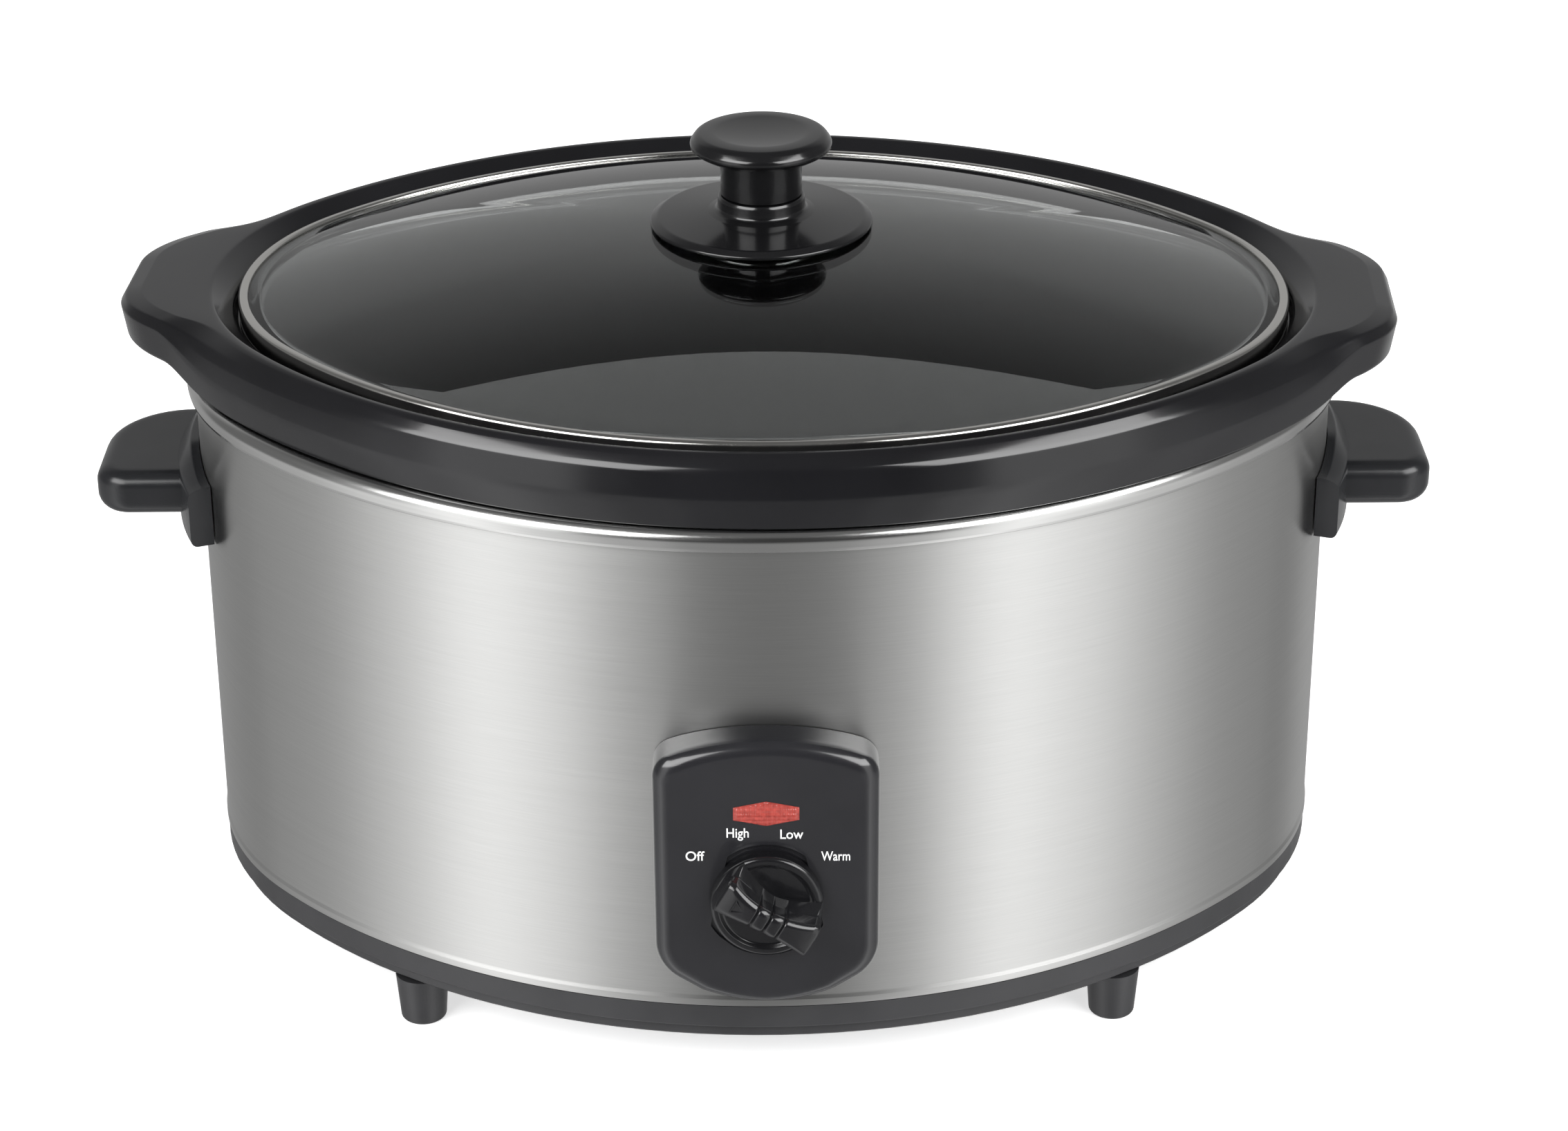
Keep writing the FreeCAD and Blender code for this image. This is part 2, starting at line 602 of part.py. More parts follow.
def make_panel():
    """The moulded panel: a hollow cover that fits the wall's curve and carries the dial and the lamp."""
    body = new_body("control_panel")
    face = new_sketch(body, "XZ_Plane", "half_depth - 8")
    draw_outline(face, panel_outline("0"))
    pad(body, face, "panel_depth + 8")
    round_edges(body, "8", lambda edge: upright_corner(edge, "panel_half", "panel_top - 20", "panel_top"))
    round_edges(body, "14", lambda edge: upright_corner(edge, "panel_half", "panel_bottom", "panel_bottom + 25"))
    front = "0 - " + FACE_Y
    round_edges(body, "panel_edge", lambda edge: abs(edge.BoundBox.YMax - value(front)) < 1e-4)
    back = new_sketch(body, "XY_Plane", "panel_top + 20")
    draw_oval(back, "piece_gap + bead_proud")
    cut(body, back, "panel_top + 20")
    hollow = new_sketch(body, "XZ_Plane", "%s - panel_wall" % FACE_Y)
    draw_outline(hollow, panel_outline("panel_wall"))
    cut(body, hollow, "panel_depth + 10")
    posts = new_sketch(body, "XZ_Plane", "half_depth + piece_gap + bead_proud")
    for side in SIDES.values():
        draw_circle(posts, "%d * panel_screw" % side, "panel_screw_z", "3.4")
    pad(body, posts, "panel_depth - panel_wall / 2")
    recess = new_sketch(body, "XZ_Plane", FACE_Y)
    draw_circle(recess, "0", "dial_height", "dial_recess")
    cut(body, recess, "dial_sink")
    openings = new_sketch(body, "XZ_Plane", FACE_Y)
    draw_circle(openings, "0", "dial_height", "bush_radius + piece_gap")
    draw_outline(openings, lens_outline("piece_gap"))
    cut(body, openings, "panel_depth - 1")
    pilots = new_sketch(body, "XZ_Plane", "half_depth - 1")
    for side in SIDES.values():
        draw_circle(pilots, "%d * panel_screw" % side, "panel_screw_z", "1.5")
    cut(body, pilots, "9", True)
    screws = [screw("panel_screw_%s" % name, "%d * panel_screw" % side, "3 - half_depth", "panel_screw_z",
                    V(0, -1, 0), "1.4", "9", "2.6", "1.4") for name, side in SIDES.items()]
    group("panel_screws", screws)


def lens_outline(grow):
    """The lens: a flat hexagon, highest at its middle."""
    half, tall, side = ["(%s + %s)" % (name, grow) for name in ("lens_half", "lens_tall", "lens_side")]
    return [(half, "lens_height - " + side), (half, "lens_height + " + side), ("0", "lens_height + " + tall),
            ("0 - " + half, "lens_height + " + side), ("0 - " + half, "lens_height - " + side),
            ("0", "lens_height - " + tall)]


def make_lamp():
    """The red lens, with a neon lamp in a clip behind it."""
    lens = new_body("indicator_lens")
    front = new_sketch(lens, "XZ_Plane", "%s - panel_wall" % FACE_Y)
    draw_outline(front, lens_outline("0"))
    pad(lens, front, "panel_wall + lens_proud")
    edge = "0 - %s - lens_proud" % FACE_Y
    round_edges(lens, "lens_proud * 0.9", lambda side: abs(side.BoundBox.YMax - value(edge)) < 1e-4, "Chamfer")
    lamp = cylinder("lamp_tube", "2", "14", "0 - 7", "2 - half_depth - panel_depth / 2", "lens_height", X_AXIS)
    keep("neon_lamp", lamp)
    shell = cylinder("clip_outer", "3.1", "6", "0 - 3", "2 - half_depth - panel_depth / 2", "lens_height", X_AXIS)
    hole = cylinder("clip_inner", "2 + piece_gap", "8", "0 - 4", "2 - half_depth - panel_depth / 2",
                    "lens_height", X_AXIS)
    keep("lamp_clip", combine("Cut", "clip", shell, hole))


def make_switch():
    """The rotary switch: a block with a threaded bush through the panel, and its flat nut."""
    body = new_body("rotary_switch")
    back = new_sketch(body, "XZ_Plane", "%s - panel_wall - piece_gap - switch_deep" % FACE_Y)
    draw_outline(back, rectangle("0 - switch_half", "switch_half",
                                 "dial_height - switch_half", "dial_height + switch_half"))
    pad(body, back, "switch_deep")
    bush = new_sketch(body, "XZ_Plane", "%s - panel_wall - piece_gap - 1" % FACE_Y)
    draw_circle(bush, "0", "dial_height", "bush_radius")
    pad(body, bush, "panel_wall - dial_sink + piece_gap + 3.6")
    bore = new_sketch(body, "XZ_Plane", "%s + 4" % FACE_Y)
    draw_circle(bore, "0", "dial_height", "shaft_radius + shaft_slack")
    cut(body, bore, "panel_wall + piece_gap + switch_deep / 2 + 4")
    floor = "%s - dial_sink + piece_gap" % FACE_Y
    blank = doc.addObject("Part::Prism", "switch_nut_blank")
    blank.Polygon = 6
    bind(blank, "Circumradius", "bush_radius * 1.7")
    bind(blank, "Height", "1.8")
    blank.Placement = FreeCAD.Placement(V(), FreeCAD.Rotation(Z_AXIS, V(0, -1, 0)))
    place(blank, "0", "0 - (%s)" % floor, "dial_height")
    hole = cylinder("switch_nut_hole", "bush_radius + 0.02", "6", "0", "2 - (%s)" % floor, "dial_height", V(0, -1, 0))
    keep("switch_nut", combine("Cut", "thin_nut", blank, hole))


def make_dial():
    """The dial: a hollow disc with a waisted grip, its shaft and the spring clip that holds it."""
    body = new_body("control_knob")
    back = "(%s - dial_sink + piece_gap)" % FACE_Y
    disc = new_sketch(body, "XZ_Plane", back)
    draw_circle(disc, "0", "0", "dial_radius")
    pad(body, disc, "dial_thick")
    face = "(%s + dial_thick)" % back
    round_edges(body, "1.2", lambda edge: abs(edge.BoundBox.YMax + value(face)) < 1e-4)
    grip = new_sketch(body, "XZ_Plane", "%s - 0.5" % face)
    waist = "((grip_half ^ 2 + (grip_end - grip_waist) ^ 2) / (2 * (grip_end - grip_waist)))"
    draw_outline(grip, [("grip_end", "0 - grip_half", waist, -1), ("grip_end", "grip_half", "grip_half * 1.1", 1),
                        ("0 - grip_end", "grip_half", waist, -1),
                        ("0 - grip_end", "0 - grip_half", "grip_half * 1.1", 1)])
    pad(body, grip, "dial_grip + 0.5")
    top = "(%s + dial_grip)" % face
    round_edges(body, "1.5", lambda edge: abs(edge.BoundBox.YMax + value(top)) < 1e-4)
    hollow = new_sketch(body, "XZ_Plane", back)
    draw_circle(hollow, "0", "0", "dial_radius - 4")
    cut(body, hollow, "dial_thick - 1.6", True)
    boss = new_sketch(body, "XZ_Plane", "%s + 2.6" % back)
    draw_circle(boss, "0", "0", "shaft_radius + 2")
    pad(body, boss, "dial_thick - 2")
    socket = new_sketch(body, "XZ_Plane", back)
    draw_circle(socket, "0", "0", "shaft_radius + 0.02")
    cut(body, socket, "dial_thick + dial_grip * 0.6", True)
    turn = FreeCAD.Rotation(Y_AXIS, -value("dial_off"))
    body.Placement = FreeCAD.Placement(V(), turn)
    place(body, "0", "0", "dial_height")
    length = "dial_thick + dial_grip * 0.6 - 1 + panel_wall - dial_sink + switch_deep / 2"
    shaft = cylinder("shaft", "shaft_radius", length, "0", "0 - %s + panel_wall + switch_deep / 2 - 0.5" % FACE_Y,
                     "dial_height", V(0, -1, 0))
    flat = block("shaft_flat", ("0 - 1.2", "1.2"), ("0 - %s - dial_thick - dial_grip" % FACE_Y, "0 - %s - 4.6" % FACE_Y),
                 ("dial_height + shaft_radius - 0.9", "dial_height + shaft_radius + 1"))
    keep("switch_shaft", combine("Cut", "shaft_with_flat", shaft, flat))
    keep("knob_clip", block("clip_leaf", ("0 - 1", "1"), ("0 - %s - 9" % FACE_Y, "0 - %s - 5" % FACE_Y),
                            ("dial_height + shaft_radius - 0.7", "dial_height + shaft_radius - 0.2")))


# ---------------------------------------------------------------- handles and fittings

def make_handles():
    """The side handles: a rounded ledge on a plate that hugs the wall's end arc."""
    body = new_body("right_handle")
    inner, outer = "(end_radius + piece_gap)", "(end_radius + plate_thick)"
    near = "%s + sqrt(%s ^ 2 - plate_half ^ 2)" % (END_CENTRE, inner)
    far = "%s + sqrt(%s ^ 2 - plate_half ^ 2)" % (END_CENTRE, outer)
    grip = new_sketch(body, "XY_Plane", "handle_bottom")
    draw_outline(grip, rectangle(END_CENTRE + " + end_radius - 6", "handle_reach", "0 - handle_half", "handle_half"))
    pad(body, grip, "handle_thick")
    round_edges(body, "handle_round", lambda edge: edge.BoundBox.ZLength > 1
                and abs(edge.BoundBox.XMin - value("handle_reach")) < 1e-4)
    heights = (value("handle_bottom"), value("handle_bottom + handle_thick"))
    round_edges(body, "handle_edge", lambda edge: edge.BoundBox.ZLength < 1e-4
                and edge.BoundBox.XMax > value("half_width")
                and min(abs(edge.BoundBox.ZMin - height) for height in heights) < 1e-4)
    plate = new_sketch(body, "XY_Plane", "handle_bottom - plate_drop")
    draw_outline(plate, [(near, "0 - plate_half"), (far, "0 - plate_half", outer, 1),
                         (far, "plate_half"), (near, "plate_half", inner, -1)])
    pad(body, plate, "handle_thick + plate_drop + plate_rise")
    low, high = "handle_bottom - plate_drop", "handle_bottom + handle_thick + plate_rise"
    for end in ENDS.values():
        wide, narrow = "%d * (plate_half + 1)" % end, "%d * (plate_half - plate_taper)" % end
        taper = new_sketch(body, "YZ_Plane", "handle_reach")
        draw_outline(taper, [(wide, high + " + 1"), (narrow, high + " + 1"), (narrow, high),
                             (wide, "handle_bottom + handle_thick + 1")])
        cut(body, taper, "handle_reach - %s - end_radius / 2" % END_CENTRE)
    wall = new_sketch(body, "XY_Plane", high + " + 5")
    draw_oval(wall, "piece_gap")
    cut(body, wall, "handle_thick + plate_drop + plate_rise + 10")
    round_edges(body, "1.5", lambda edge: plate_rim(edge, low, high))
    pilots = new_sketch(body, "YZ_Plane", "half_width - 4")
    for end in ENDS.values():
        draw_circle(pilots, "%d * handle_pitch" % end, "handle_bottom + handle_thick / 2", "handle_bolt + 0.05")
    cut(body, pilots, "18", True)
    mirror = keep("left_handle", doc.addObject("Part::Mirroring", "left_handle"))
    mirror.Source = body
    mirror.Normal = X_AXIS
    screws, washers = [], []
    for name, side in SIDES.items():
        for end, y in ENDS.items():
            axis = V(side, 0, 0)
            x = "%d * (half_width - casing_wall - piece_gap - bolt_standoff)" % side
            spot = ("%d * handle_pitch" % y, "handle_bottom + handle_thick / 2")
            screws.append(screw("handle_screw_%s_%s" % (name, end), x, spot[0], spot[1], axis,
                                "handle_bolt", "14", "3.6", "1.5"))
            tag = "handle_washer_%s_%s" % (name, end)
            disc = cylinder(tag + "_disc", "4", "0.7", "%s + %d * 0.05" % (x, side), spot[0], spot[1], axis)
            hole = cylinder(tag + "_hole", "handle_bolt + 0.15", "3", "%s - %d" % (x, side), spot[0], spot[1], axis)
            washers.append(combine("Cut", tag, disc, hole))
    group("handle_screws", screws)
    group("handle_washers", washers)


def plate_rim(edge, low, high):
    """True for the outer edges at the top and bottom of a handle's wall plate."""
    box = edge.BoundBox
    levels = min(abs(box.ZMin - value(low)), abs(box.ZMin - value(high)))
    middle = edge.valueAt((edge.FirstParameter + edge.LastParameter) / 2)
    return box.ZLength < 1e-4 and levels < 1e-4 and oval_offset(middle) > value("plate_thick - 1")


def make_gland():
    """The moulded gland that the mains cord comes out of, held in the wall by its two flanges."""
    outside, inside = "piece_gap", "0 - casing_wall - piece_gap - 0.4"
    turned_front("cord_gland", [
        ("0 - 4.2", "gland_bore"), ("5", "gland_bore"), ("5", "gland_body + 0.6"), ("3", "gland_flange"),
        (outside, "gland_flange"), (outside, "gland_body"), (inside, "gland_body"),
        (inside, "gland_body + 0.9"), ("0 - 4.2", "gland_body + 0.9")], "0", "half_depth", "gland_height")


def make_wiring():
    """The terminal block, the earth tag and the thermal fuse with its clip."""
    base = block("terminal_base", ("40", "64"), ("74", "86"),
                 ("foot_height + base_wall + piece_gap", "foot_height + base_wall + 10"))
    wells = [cylinder("terminal_well_%d" % number, "2", "5", "%d" % (44 + 8 * number), "80",
                      "foot_height + base_wall + 7") for number in range(3)]
    holes = group("terminal_wells", wells)
    del pieces["terminal_wells"]
    keep("terminal_block", combine("Cut", "terminal", base, holes))
    screws = [cylinder("terminal_screw_%d" % number, "1.7", "2.4", "%d" % (44 + 8 * number), "80",
                       "foot_height + base_wall + 7.2") for number in range(3)]
    group("terminal_screws", screws)
    keep("earth_tag", combine("Cut", "earth", block("earth_strip", ("8", "26"), ("20", "28"),
                                                    ("well_floor - 1.4", "well_floor - piece_gap")),
                              cylinder("earth_hole", "1.8", "6", "22", "24", "well_floor - 4")))
    fuse = cylinder("fuse_can", "2.6", "16", "0 - 40", "30", "well_floor - 3.4", X_AXIS)
    keep("thermal_fuse", fuse)
    clip = block("fuse_clip_block", ("0 - 36", "0 - 28"), ("25", "35"), ("well_floor - 6.6", "well_floor - piece_gap"))
    bore = cylinder("fuse_clip_bore", "2.6 + 0.1", "12", "0 - 38", "30", "well_floor - 3.4", X_AXIS)
    keep("fuse_clip", combine("Cut", "fuse_strap", clip, bore))


# ---------------------------------------------------------------- crock

def lug_outline(side):
    """A lug: straight flanks a little outside the rim, and a blunt tip, joined to the rim's middle."""
    rim, flank = "(end_radius + rim_proud - 1)", "(end_radius + rim_proud + lug_swell)"
    root = ("%s + %s * cos(lug_angle + lug_root)" % (END_CENTRE, rim), "%s * sin(lug_angle + lug_root)" % rim)
    start = ("%s + %s * cos(lug_angle)" % (END_CENTRE, flank), "%s * sin(lug_angle)" % flank)
    corner = ("lug_reach", "%s - (lug_reach - (%s)) * cos(lug_angle) / sin(lug_angle)" % (start[1], start[0]))
    upper = [root, start, corner]
    lower = [(x, "0 - (%s)" % y) for x, y in reversed(upper)]
    return [("%d * (%s)" % (side, x), y) for x, y in upper + lower]


def make_crock():
    """The stoneware crock: a deep bowl, a heavy rim that rests over the lip, and two lugs."""
    body = new_body("crock")
    pad_plate(body, CROCK_Z, "%s - %s" % (RIM_TOP, CROCK_Z), CROCK_OUT)
    round_edges(body, "crock_round", level_edges(CROCK_Z))
    pad_plate(body, RIM_Z, "rim_height", "rim_proud")
    for side in SIDES.values():
        lug = new_sketch(body, "XY_Plane", RIM_Z + " + lug_rise")
        draw_outline(lug, lug_outline(side))
        pad(body, lug, "rim_height - lug_rise")
    reach = "(half_width + 4)"
    round_edges(body, "lug_round", lambda edge: edge.BoundBox.ZLength > value("rim_height - lug_rise") - 0.1
                and abs(edge.BoundBox.XMax) > value(reach) and edge.BoundBox.XLength < 1e-3)
    round_edges(body, "rim_round", level_edges(RIM_TOP, outside="0"))
    round_edges(body, "rim_round / 2", level_edges(RIM_Z, outside="0"))
    round_edges(body, "rim_round / 2", lambda edge: edge.BoundBox.ZLength < 1e-4
                and abs(edge.BoundBox.ZMin - value(RIM_Z + " + lug_rise")) < 1e-4
                and max(abs(edge.BoundBox.XMin), abs(edge.BoundBox.XMax)) > value("lug_reach - 1"))
    cavity = new_sketch(body, "XY_Plane", RIM_TOP)
    draw_oval(cavity, CROCK_IN)
    cut(body, cavity, "%s - %s - crock_floor" % (RIM_TOP, CROCK_Z))
    seat = new_sketch(body, "XY_Plane", RIM_TOP)
    draw_oval(seat, "0 - lid_inset + piece_gap * 2")
    cut(body, seat, "seat_depth")
    slope = "lid_inset - 2 * piece_gap + rim_proud - rim_round - rim_crest"
    round_edges(body, slope, level_edges(RIM_TOP, inside="0 - lid_inset + piece_gap * 2 + 0.1"), "Chamfer")
    floor = "%s + crock_floor" % CROCK_Z
    round_edges(body, "crock_round - crock_wall", level_edges(floor, inside=CROCK_IN + " + 0.1"))
    body.Placement = FreeCAD.Placement(V(), FreeCAD.Rotation(Z_AXIS, value("crock_yaw")))


# ---------------------------------------------------------------- lid

def dome(body, kind, z, rise, edge, shares):
    """Loft ovals of shrinking size up to the dome's flat top."""
    sections = []
    for share in shares:
        sketch = new_sketch(body, "XY_Plane", "%s + %s * (1 - (%s) ^ 2)" % (z, rise, share))
        draw_oval(sketch, "(%s) * (%s)" % (edge, share), "(%s)" % share)
        sections.append(sketch)
    loft = body.newObject("PartDesign::" + kind, body.Name + "_dome")
    loft.Profile = sections[0]
    loft.Sections = sections[1:]
    return loft


def make_lid():
    """The lid: a domed glass plate in a rolled steel rim, with a two-piece knob screwed through it."""
    turn = FreeCAD.Placement(V(), FreeCAD.Rotation(Z_AXIS, value("crock_yaw")))
    band = new_body("lid_rim_band")
    outside, inside = "0 - lid_inset", "0 - lid_inset - lid_band"
    pad_ring(band, LID_Z, "lid_edge", outside, outside + " - lid_sheet")
    pad_ring(band, LID_Z, "lid_sheet", outside, inside)
    pad_ring(band, "%s - lid_sheet" % LID_TOP, "lid_sheet", outside, inside)
    round_edges(band, "lid_sheet * 0.9", level_edges(LID_TOP, outside=outside + " - 0.1"))
    round_edges(band, "lid_sheet * 0.9", level_edges(LID_Z, outside=outside + " - 0.1"))
    band.Placement = turn

    glass = new_body("lid_glass")
    rim_low, rim_high = "(%s + lid_sheet + piece_gap)" % LID_Z, "(%s - lid_sheet - piece_gap)" % LID_TOP
    pad_plate(glass, rim_low, "%s - %s" % (rim_high, rim_low), outside + " - lid_sheet - piece_gap")
    shares = ["1", "0.85", "0.7", "0.55", "0.4", "dome_top"]
    spring = "(%s - glass_wall)" % rim_high
    edge = inside + " - piece_gap"
    dome(glass, "AdditiveLoft", rim_high, "(dome_rise + piece_gap)", edge, shares)
    doc.recompute()
    dome(glass, "SubtractiveLoft", spring, "(dome_rise + piece_gap)", edge + " - glass_wall", shares)
    skirt = new_sketch(glass, "XY_Plane", spring)
    draw_oval(skirt, edge + " - glass_wall")
    cut(glass, skirt, "lid_edge")
    hole = new_sketch(glass, "XY_Plane", "%s + 5" % SKIRT_Z)
    draw_circle(hole, "0", "0", "knob_bolt + 1.5")
    cut(glass, hole, "glass_wall + 12")
    glass.Placement = turn

    top, under = SKIRT_Z + " - piece_gap", "(%s - piece_gap - glass_wall)" % SKIRT_Z
    skirt_piece = turned("lid_knob_skirt", [
        ("knob_bolt + 0.3", "0"), ("skirt_radius", "0"), ("skirt_radius", "skirt_edge"),
        ("stem_radius", "skirt_height"), ("stem_radius", "collar_height"), ("knob_bolt + 0.3", "collar_height")],
        z=SKIRT_Z)
    round_edges(skirt_piece, "skirt_edge * 0.45",
                lambda ring: abs(ring.BoundBox.XLength / 2 - value("skirt_radius")) < 1e-3 and ring.BoundBox.ZLength < 1e-4)
    cap = turned("lid_knob", [
        ("0", "0"), ("stem_radius", "0"), ("stem_radius", "stem_height"), ("cap_radius", "stem_height"),
        ("cap_radius", "stem_height + cap_height"), ("0", "stem_height + cap_height - cap_dish")], z=CAP_Z)
    for height, size in (("stem_height", "cap_belly"), ("stem_height + cap_height", "cap_round")):
        round_edges(cap, size, lambda ring, height=height: ring_at(ring, height, "cap_radius"))
    socket = new_sketch(cap, "XY_Plane", "0")
    draw_circle(socket, "0", "0", "knob_bolt + 0.05")
    cut(cap, socket, "stem_height - 3", True)
    boss = turned("lid_knob_washer", [
        ("knob_bolt + 0.3", "0 - boss_drop"), ("boss_radius", "0 - boss_drop"),
        ("boss_radius", "boss_edge - boss_drop"), ("boss_neck", "2 * boss_edge - boss_drop"), ("boss_neck", "0"),
        ("knob_bolt + 0.3", "0")], z=under + " - piece_gap")
    round_edges(boss, "boss_edge * 0.3", lambda ring: ring_at(ring, "0 - boss_drop", "boss_radius"))
    turned("lid_grommet", [("knob_bolt + 0.2", "0"), ("knob_bolt + 1.3", "0"),
                           ("knob_bolt + 1.3", "glass_wall - 0.4"), ("knob_bolt + 0.2", "glass_wall - 0.4")],
           z=under + " + 0.2")
    keep("lid_knob_screw", screw("knob_screw", "0", "0", under + " - 2 * piece_gap - boss_drop", Z_AXIS, "knob_bolt",
                                 "boss_drop + glass_wall + collar_height + stem_height - 4.5", "5", "2.4"))


# ---------------------------------------------------------------- build, check and write

def check_and_write():
    doc.recompute()
    for thing in doc.Objects:
        if {"Invalid", "Error"} & set(thing.State):
            raise RuntimeError("failed: %s %s" % (thing.Name, thing.State))
    for label, thing in pieces.items():
        if thing.Shape.isNull() or not thing.Shape.isValid() or not thing.Shape.Solids:
            raise RuntimeError("bad shape: " + label)
    os.makedirs("parts", exist_ok=True)
    for label, thing in pieces.items():
        thing.Shape.exportStep(os.path.join("parts", label + ".step"))
        box = thing.Shape.BoundBox
        print("%-18s %9.1f mm3  x %7.2f %7.2f  y %7.2f %7.2f  z %7.2f %7.2f" % (
            label, thing.Shape.Volume, box.XMin, box.XMax, box.YMin, box.YMax, box.ZMin, box.ZMax))


make_casing()
make_well()
make_heater()
make_shields()
make_base()
make_feet()
make_tie()
make_panel()
make_lamp()
make_switch()
make_dial()
make_handles()
make_gland()
make_wiring()
make_crock()
make_lid()
check_and_write()
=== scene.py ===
"""The looks of a slow cooker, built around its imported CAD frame. Metres, +Z up, the front faces -Y."""
import json
import math

import bmesh
import bpy
from mathutils import Matrix, Vector


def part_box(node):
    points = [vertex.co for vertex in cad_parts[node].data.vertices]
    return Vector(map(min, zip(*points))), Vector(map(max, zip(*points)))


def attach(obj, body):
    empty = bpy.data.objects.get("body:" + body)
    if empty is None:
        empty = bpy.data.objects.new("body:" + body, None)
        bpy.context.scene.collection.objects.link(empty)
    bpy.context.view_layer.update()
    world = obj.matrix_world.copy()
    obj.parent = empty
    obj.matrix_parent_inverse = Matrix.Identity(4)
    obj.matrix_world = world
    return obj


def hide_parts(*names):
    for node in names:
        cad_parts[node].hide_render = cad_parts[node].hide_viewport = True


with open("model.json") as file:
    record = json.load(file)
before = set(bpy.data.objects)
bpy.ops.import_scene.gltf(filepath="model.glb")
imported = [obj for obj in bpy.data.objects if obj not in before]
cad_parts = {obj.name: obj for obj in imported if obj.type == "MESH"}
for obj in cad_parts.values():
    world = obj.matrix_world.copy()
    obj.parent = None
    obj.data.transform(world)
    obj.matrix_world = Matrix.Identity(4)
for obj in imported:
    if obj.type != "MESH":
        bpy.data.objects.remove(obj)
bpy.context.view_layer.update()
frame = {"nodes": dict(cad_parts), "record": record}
MM = 0.001

# ---------------------------------------------------------------- the oval that everything follows

BEAD_PROUD = 0.7 * MM
END_RADIUS = 100 * MM
HALF_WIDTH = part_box("outer_casing")[1].x - BEAD_PROUD
HALF_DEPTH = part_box("outer_casing")[1].y - BEAD_PROUD
CROCK_YAW = math.radians(-3)
BOTTOM_INSET = -70 * MM
FULL_TURN = 2 * math.pi

END_CENTRE = HALF_WIDTH - END_RADIUS
LONG_RADIUS = (END_CENTRE ** 2 + HALF_DEPTH ** 2 - END_RADIUS ** 2) / (2 * (HALF_DEPTH - END_RADIUS))
LONG_CENTRE = LONG_RADIUS - HALF_DEPTH
TANGENCY = math.atan2(LONG_CENTRE, END_CENTRE)


def oval_point(angle, offset=0.0, share=1.0):
    """The point of the wall's four-arc oval whose outward normal has this angle, moved outwards by
    offset; share shrinks the oval about its centre."""
    across, deep = math.cos(angle), math.sin(angle)
    if abs(deep) <= math.sin(TANGENCY):
        centre, radius = (math.copysign(END_CENTRE, across), 0.0), END_RADIUS
    else:
        centre, radius = (0.0, -math.copysign(LONG_CENTRE, deep)), LONG_RADIUS
    reach = radius * share + offset
    return centre[0] * share + reach * across, centre[1] * share + reach * deep


# ---------------------------------------------------------------- mesh helpers

def make_object(name, points, faces, material, body, replaced=(), slot=None, sharp=40, turn=0.0):
    """Make a piece from points and faces, turned about the vertical axis."""
    mesh = bpy.data.meshes.new(name)
    mesh.from_pydata(points, [], faces)
    work = bmesh.new()
    work.from_mesh(mesh)
    bmesh.ops.remove_doubles(work, verts=work.verts, dist=1e-6)
    bmesh.ops.recalc_face_normals(work, faces=work.faces)
    work.to_mesh(mesh)
    work.free()
    if turn:
        mesh.transform(Matrix.Rotation(turn, 4, "Z"))
    return adopt(bpy.data.objects.new(name, mesh), material, body, replaced, sharp)


def adopt(thing, material, body, replaced=(), sharp=40):
    """Link a new piece, shade it smooth up to an angle, tie it to its body and hide the CAD nodes it replaces."""
    if thing.name not in bpy.context.scene.collection.objects:
        bpy.context.scene.collection.objects.link(thing)
    thing.data.materials.clear()
    thing.data.materials.append(material)
    thing.data.shade_smooth()
    thing.data.set_sharp_from_angle(angle=math.radians(sharp))
    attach(thing, body)
    if replaced:
        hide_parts(*replaced)
    return thing


def soften(corners, steps=6, closed=False):
    """Round the corners (x, y, radius) of a path with arcs; radius 0 keeps a corner sharp."""
    path = []
    count = len(corners)
    for number, (x, y, radius) in enumerate(corners):
        here = Vector((x, y))
        if radius <= 0 or (not closed and number in (0, count - 1)):
            path.append((x, y))
            continue
        before = (Vector(corners[number - 1][:2]) - here).normalized()
        after = (Vector(corners[(number + 1) % count][:2]) - here).normalized()
        half = math.acos(max(-1.0, min(1.0, before.dot(after)))) / 2
        centre = here + (before + after).normalized() * radius / math.sin(half)
        start = here + before * radius / math.tan(half) - centre
        stop = here + after * radius / math.tan(half) - centre
        sweep = math.atan2(start.x * stop.y - start.y * stop.x, start.dot(stop))
        for step in range(steps + 1):
            angle = sweep * step / steps
            path.append((centre.x + start.x * math.cos(angle) - start.y * math.sin(angle),
                         centre.y + start.x * math.sin(angle) + start.y * math.cos(angle)))
    return path


def skin(rings, closed, capped):
    """Faces between rings of equal length; each ring is itself closed."""
    width = len(rings[0])
    points = [point for ring in rings for point in ring]
    faces = []
    for row in range(len(rings) if closed else len(rings) - 1):
        below, above = row * width, (row + 1) % len(rings) * width
        for place in range(width):
            following = (place + 1) % width
            faces.append((below + place, below + following, above + following, above + place))
    if capped and not closed:
        faces.append(tuple(range(width))[::-1])
        faces.append(tuple((len(rings) - 1) * width + place for place in range(width)))
    return points, faces


def oval_sweep(name, profile, material, body, closed=True, capped=False, stations=480, share=None, **options):
    """Carry a profile of (offset, height) round the oval."""
    angles = [FULL_TURN * station / stations for station in range(stations)]
    rings = []
    for row, (offset, height) in enumerate(profile):
        part = share[row] if share else 1.0
        rings.append([(*oval_point(angle, offset, part), height) for angle in angles])
    return make_object(name, *skin(rings, closed, capped), material, body, **options)


def lathe(name, profile, material, body, centre=(0, 0, 0), segments=160, closed=False, **options):
    """Turn a profile of (radius, height) about a vertical line."""
    rings = []
    for radius, height in profile:
        rings.append([(centre[0] + radius * math.cos(FULL_TURN * step / segments),
                       centre[1] + radius * math.sin(FULL_TURN * step / segments),
                       centre[2] + height) for step in range(segments)])
    return make_object(name, *skin(rings, closed, not closed), material, body, **options)


